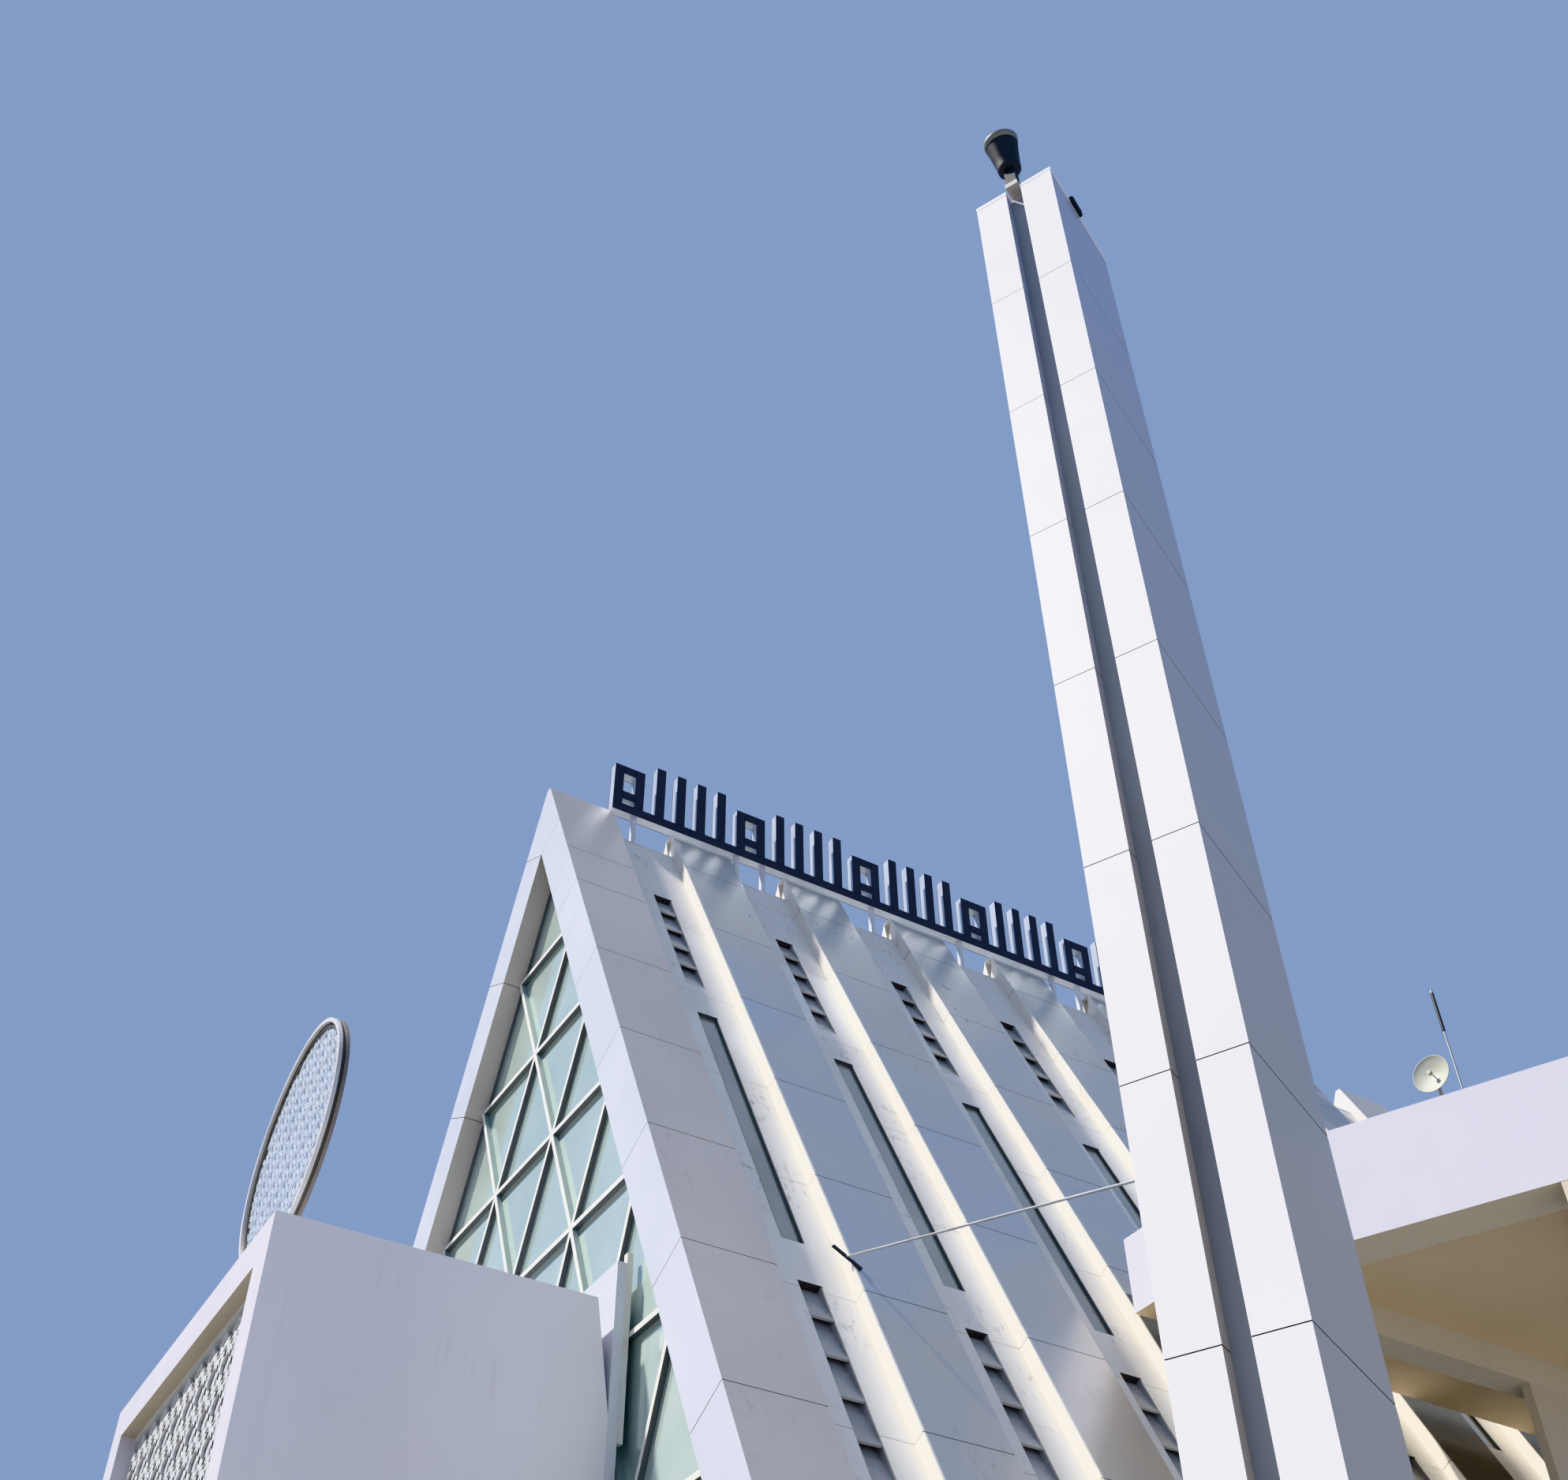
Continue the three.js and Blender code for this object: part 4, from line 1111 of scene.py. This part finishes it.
# Canopy
# A roof of poured concrete on beams and square columns, rubbed smooth and painted: the outer faces
# are white, the ceiling and all that hangs under it a golden beige.
fascia_paint = coated_panel("white_masonry_paint", "CFCEDA", "C6C5D1", "9C948C", 0.7, dirt_share=0.3)
ceiling_paint = coated_panel("golden_masonry_paint", "E3CFAF", "D5C1A1", "9E9078", 0.75)
beam_paint = coated_panel("beige_beam_paint", "D6CDBC", "C9C0AF", "99907F", 0.75)
roof_felt = flat_paint("grey_roof_felt", "8C8C8C", "7B7B7A", 0.9)
column_paint = coated_panel("streaked_column_paint", "CFC6B4", "BDB3A0", "857D70", 0.75, dirt_share=0.8)


def canopy():
    beam_bottom, reach = 12.80, 0.02

    def pick(normal, middle):
        if normal.z > 0.5:
            return 2
        if normal.z < -0.5:
            return 3 if middle.z < beam_bottom + reach else 1
        return 0 if is_outside(middle + normal * reach) else 3

    # Whether a point lies beyond the roof's outline, seen in plan.
    def is_outside(point):
        outline = [(-3.28, -5.79), (-3.28, -8.47), (-1.39, -12.37), (5.37, -9.13), (5.37, -5.79)]
        for (x0, y0), (x1, y1) in zip(outline, outline[1:]):
            if (x1 - x0) * (point.y - y0) - (y1 - y0) * (point.x - x0) < 0:
                return True
        return False

    bm = skin_of("canopy_roof", pick)
    piece = finish_piece("canopy_painted_concrete", bm, [fascia_paint, ceiling_paint, roof_felt, beam_paint],
                         ["canopy_roof"], weld=True)
    give_panel_tones(piece, lambda at: 0.3)


canopy()
for number in (1, 2, 3):
    dress(f"canopy_column_{number}", column_paint)


# Satellite dish
# A bowl of pressed steel with a rolled rim, sprayed a chalky cream, on a short painted pole. The
# moulded grey receiver sits on a stub at the middle.
dish_paint = flat_paint("cream_dish_paint", "B6B8AD", "A3A497", 0.5)
receiver_plastic = flat_paint("grey_receiver_plastic", "9A9A98", "868684", 0.5)
canopy_top = 14.39
dish_place = Vector((-1.33, -10.31, 15.27))
dish_turn = Matrix.Rotation(math.radians(11), 3, "Z") @ Matrix.Rotation(math.radians(3), 3, "Y")
dish_axis = dish_turn @ Vector((-1, 0, 0))


def add_rod(bm, start, end, radius, material_index=0, sides=12):
    turn = (Vector(end) - Vector(start)).to_track_quat("Z", "Y")
    angles = [2 * math.pi * i / sides for i in range(sides)]
    spokes = [turn @ Vector((math.cos(angle), math.sin(angle), 0)) * radius for angle in angles]
    add_prism(bm, [[Vector(place) + spoke for spoke in spokes] for place in (start, end)], material_index)


def satellite_dish():
    bm = bmesh.new()
    inner = [(0.020, 0.0), (0.026, 0.07), (0.043, 0.135), (0.068, 0.205), (0.095, 0.264)]
    rim = [(0.101, 0.270), (0.099, 0.275), (0.092, 0.276)]
    outer = [(0.086, 0.270), (0.055, 0.205), (0.026, 0.135), (0.008, 0.07), (0.0, 0.0)]
    facing = Matrix.Translation(dish_place) @ dish_axis.to_track_quat("Z", "Y").to_matrix().to_4x4()
    add_turned(bm, [*inner, *rim, *outer], facing)
    pole_x, y, pole_top = dish_place + Vector((0.02, 0, 0))
    add_rod(bm, (pole_x, y, canopy_top), (pole_x, y, pole_top), 0.024, 1)
    # The stub and the receiver, by how far they start and end before the bowl's middle.
    for start, end, radius, finish, sides in ((0.02, 0.13, 0.010, 1, 8), (0.10, 0.155, 0.030, 2, 12)):
        add_rod(bm, dish_place + dish_axis * start, dish_place + dish_axis * end, radius, finish, sides)
    finish_piece("satellite_dish_bowl", bm, [dish_paint, arm_paint, receiver_plastic],
                 ["satellite_dish"], weld=True)


satellite_dish()


# Aerial
# A thin galvanised tube with a thicker dark whip and its pale knob on top, on a small steel box.
galvanised = flat_paint("dull_galvanised_steel", "A9ADB1", "94989C", 0.45, 0.6)
whip_plastic = flat_paint("dark_whip_plastic", "3A3A3C", "2E2E30", 0.5)
aerial_place = (-0.83, -10.32)
aerial_top = 16.90


def aerial():
    bm = bmesh.new()
    x, y = aerial_place
    whip_start, knob_start = 16.20, aerial_top - 0.05
    # The tube, which reaches a little way into the whip, the whip and the knob.
    parts = ((canopy_top, whip_start + 0.05, 0.014, 0), (whip_start, knob_start, 0.024, 1),
             (knob_start, aerial_top, 0.020, 0))
    for bottom, top, radius, finish in parts:
        add_rod(bm, (x, y, bottom), (x, y, top), radius, finish)
    add_box(bm, (x - 0.07, y - 0.05, canopy_top), (x + 0.05, y + 0.05, canopy_top + 0.16), 2)
    finish_piece("aerial_whip", bm, [galvanised, whip_plastic, arm_paint],
                 ["aerial_mast"])


aerial()


# Stay
# A flat steel bar, painted as dark as the crest, that is bolted across the first rib's edge, and the
# galvanised wire that runs taut from it to the minaret.
dress("stay_bracket", crest_paint)
dress("stay_wire", galvanised)


# Stage and light: a plain pale floor under a plain pale sky, with one soft sun high on the left.
reach = 160
floor_corners = [(-reach, -reach, 0), (reach, -reach, 0), (reach, reach, 0), (-reach, reach, 0)]
floor_mesh = bpy.data.meshes.new("studio_floor")
floor_mesh.from_pydata(floor_corners, [], [(0, 1, 2, 3)])
floor_mesh.materials.append(flat_paint("pale_floor", "A6A4A0", "A2A09C", 0.9))
new_object("studio_floor", floor_mesh)

world = bpy.data.worlds.new("studio")
world.use_nodes = True
bpy.context.scene.world = world
background = world.node_tree.nodes["Background"]
background.inputs["Color"].default_value = linear("8DA4CC")
background.inputs["Strength"].default_value = 1.0

sun_data = bpy.data.lights.new("sun", "SUN")
sun_data.energy = 7.0
sun_data.color = (1.0, 0.95, 0.87)
sun_data.angle = math.radians(3.0)
sun = new_object("sun", sun_data)
to_sun = Vector((-0.545, 0.251, 0.80))
sun.rotation_euler = to_sun.to_track_quat("Z", "Y").to_euler()
bpy.context.scene.view_settings.view_transform = "Khronos PBR Neutral"


# Camera: a standing person's eye in front of the hall's south corner, looking steeply up.
camera_data = bpy.data.cameras.new("camera")
camera_data.sensor_width = 36.0
camera_data.lens = 40.475
camera_data.shift_x = 0.0169
camera_data.shift_y = -0.0025
camera_data.clip_end = 500
camera = new_object("camera", camera_data)
heading, pitch, roll = (math.radians(angle) for angle in (29.93, 44.51, 0.42))
turn = Matrix.Rotation(-heading, 4, "Z") @ Matrix.Rotation(math.pi / 2 + pitch, 4, "X")
camera.matrix_world = Matrix.Translation((-19.63, -23.40, 1.60)) @ turn @ Matrix.Rotation(roll, 4, "Z")
bpy.context.scene.camera = camera
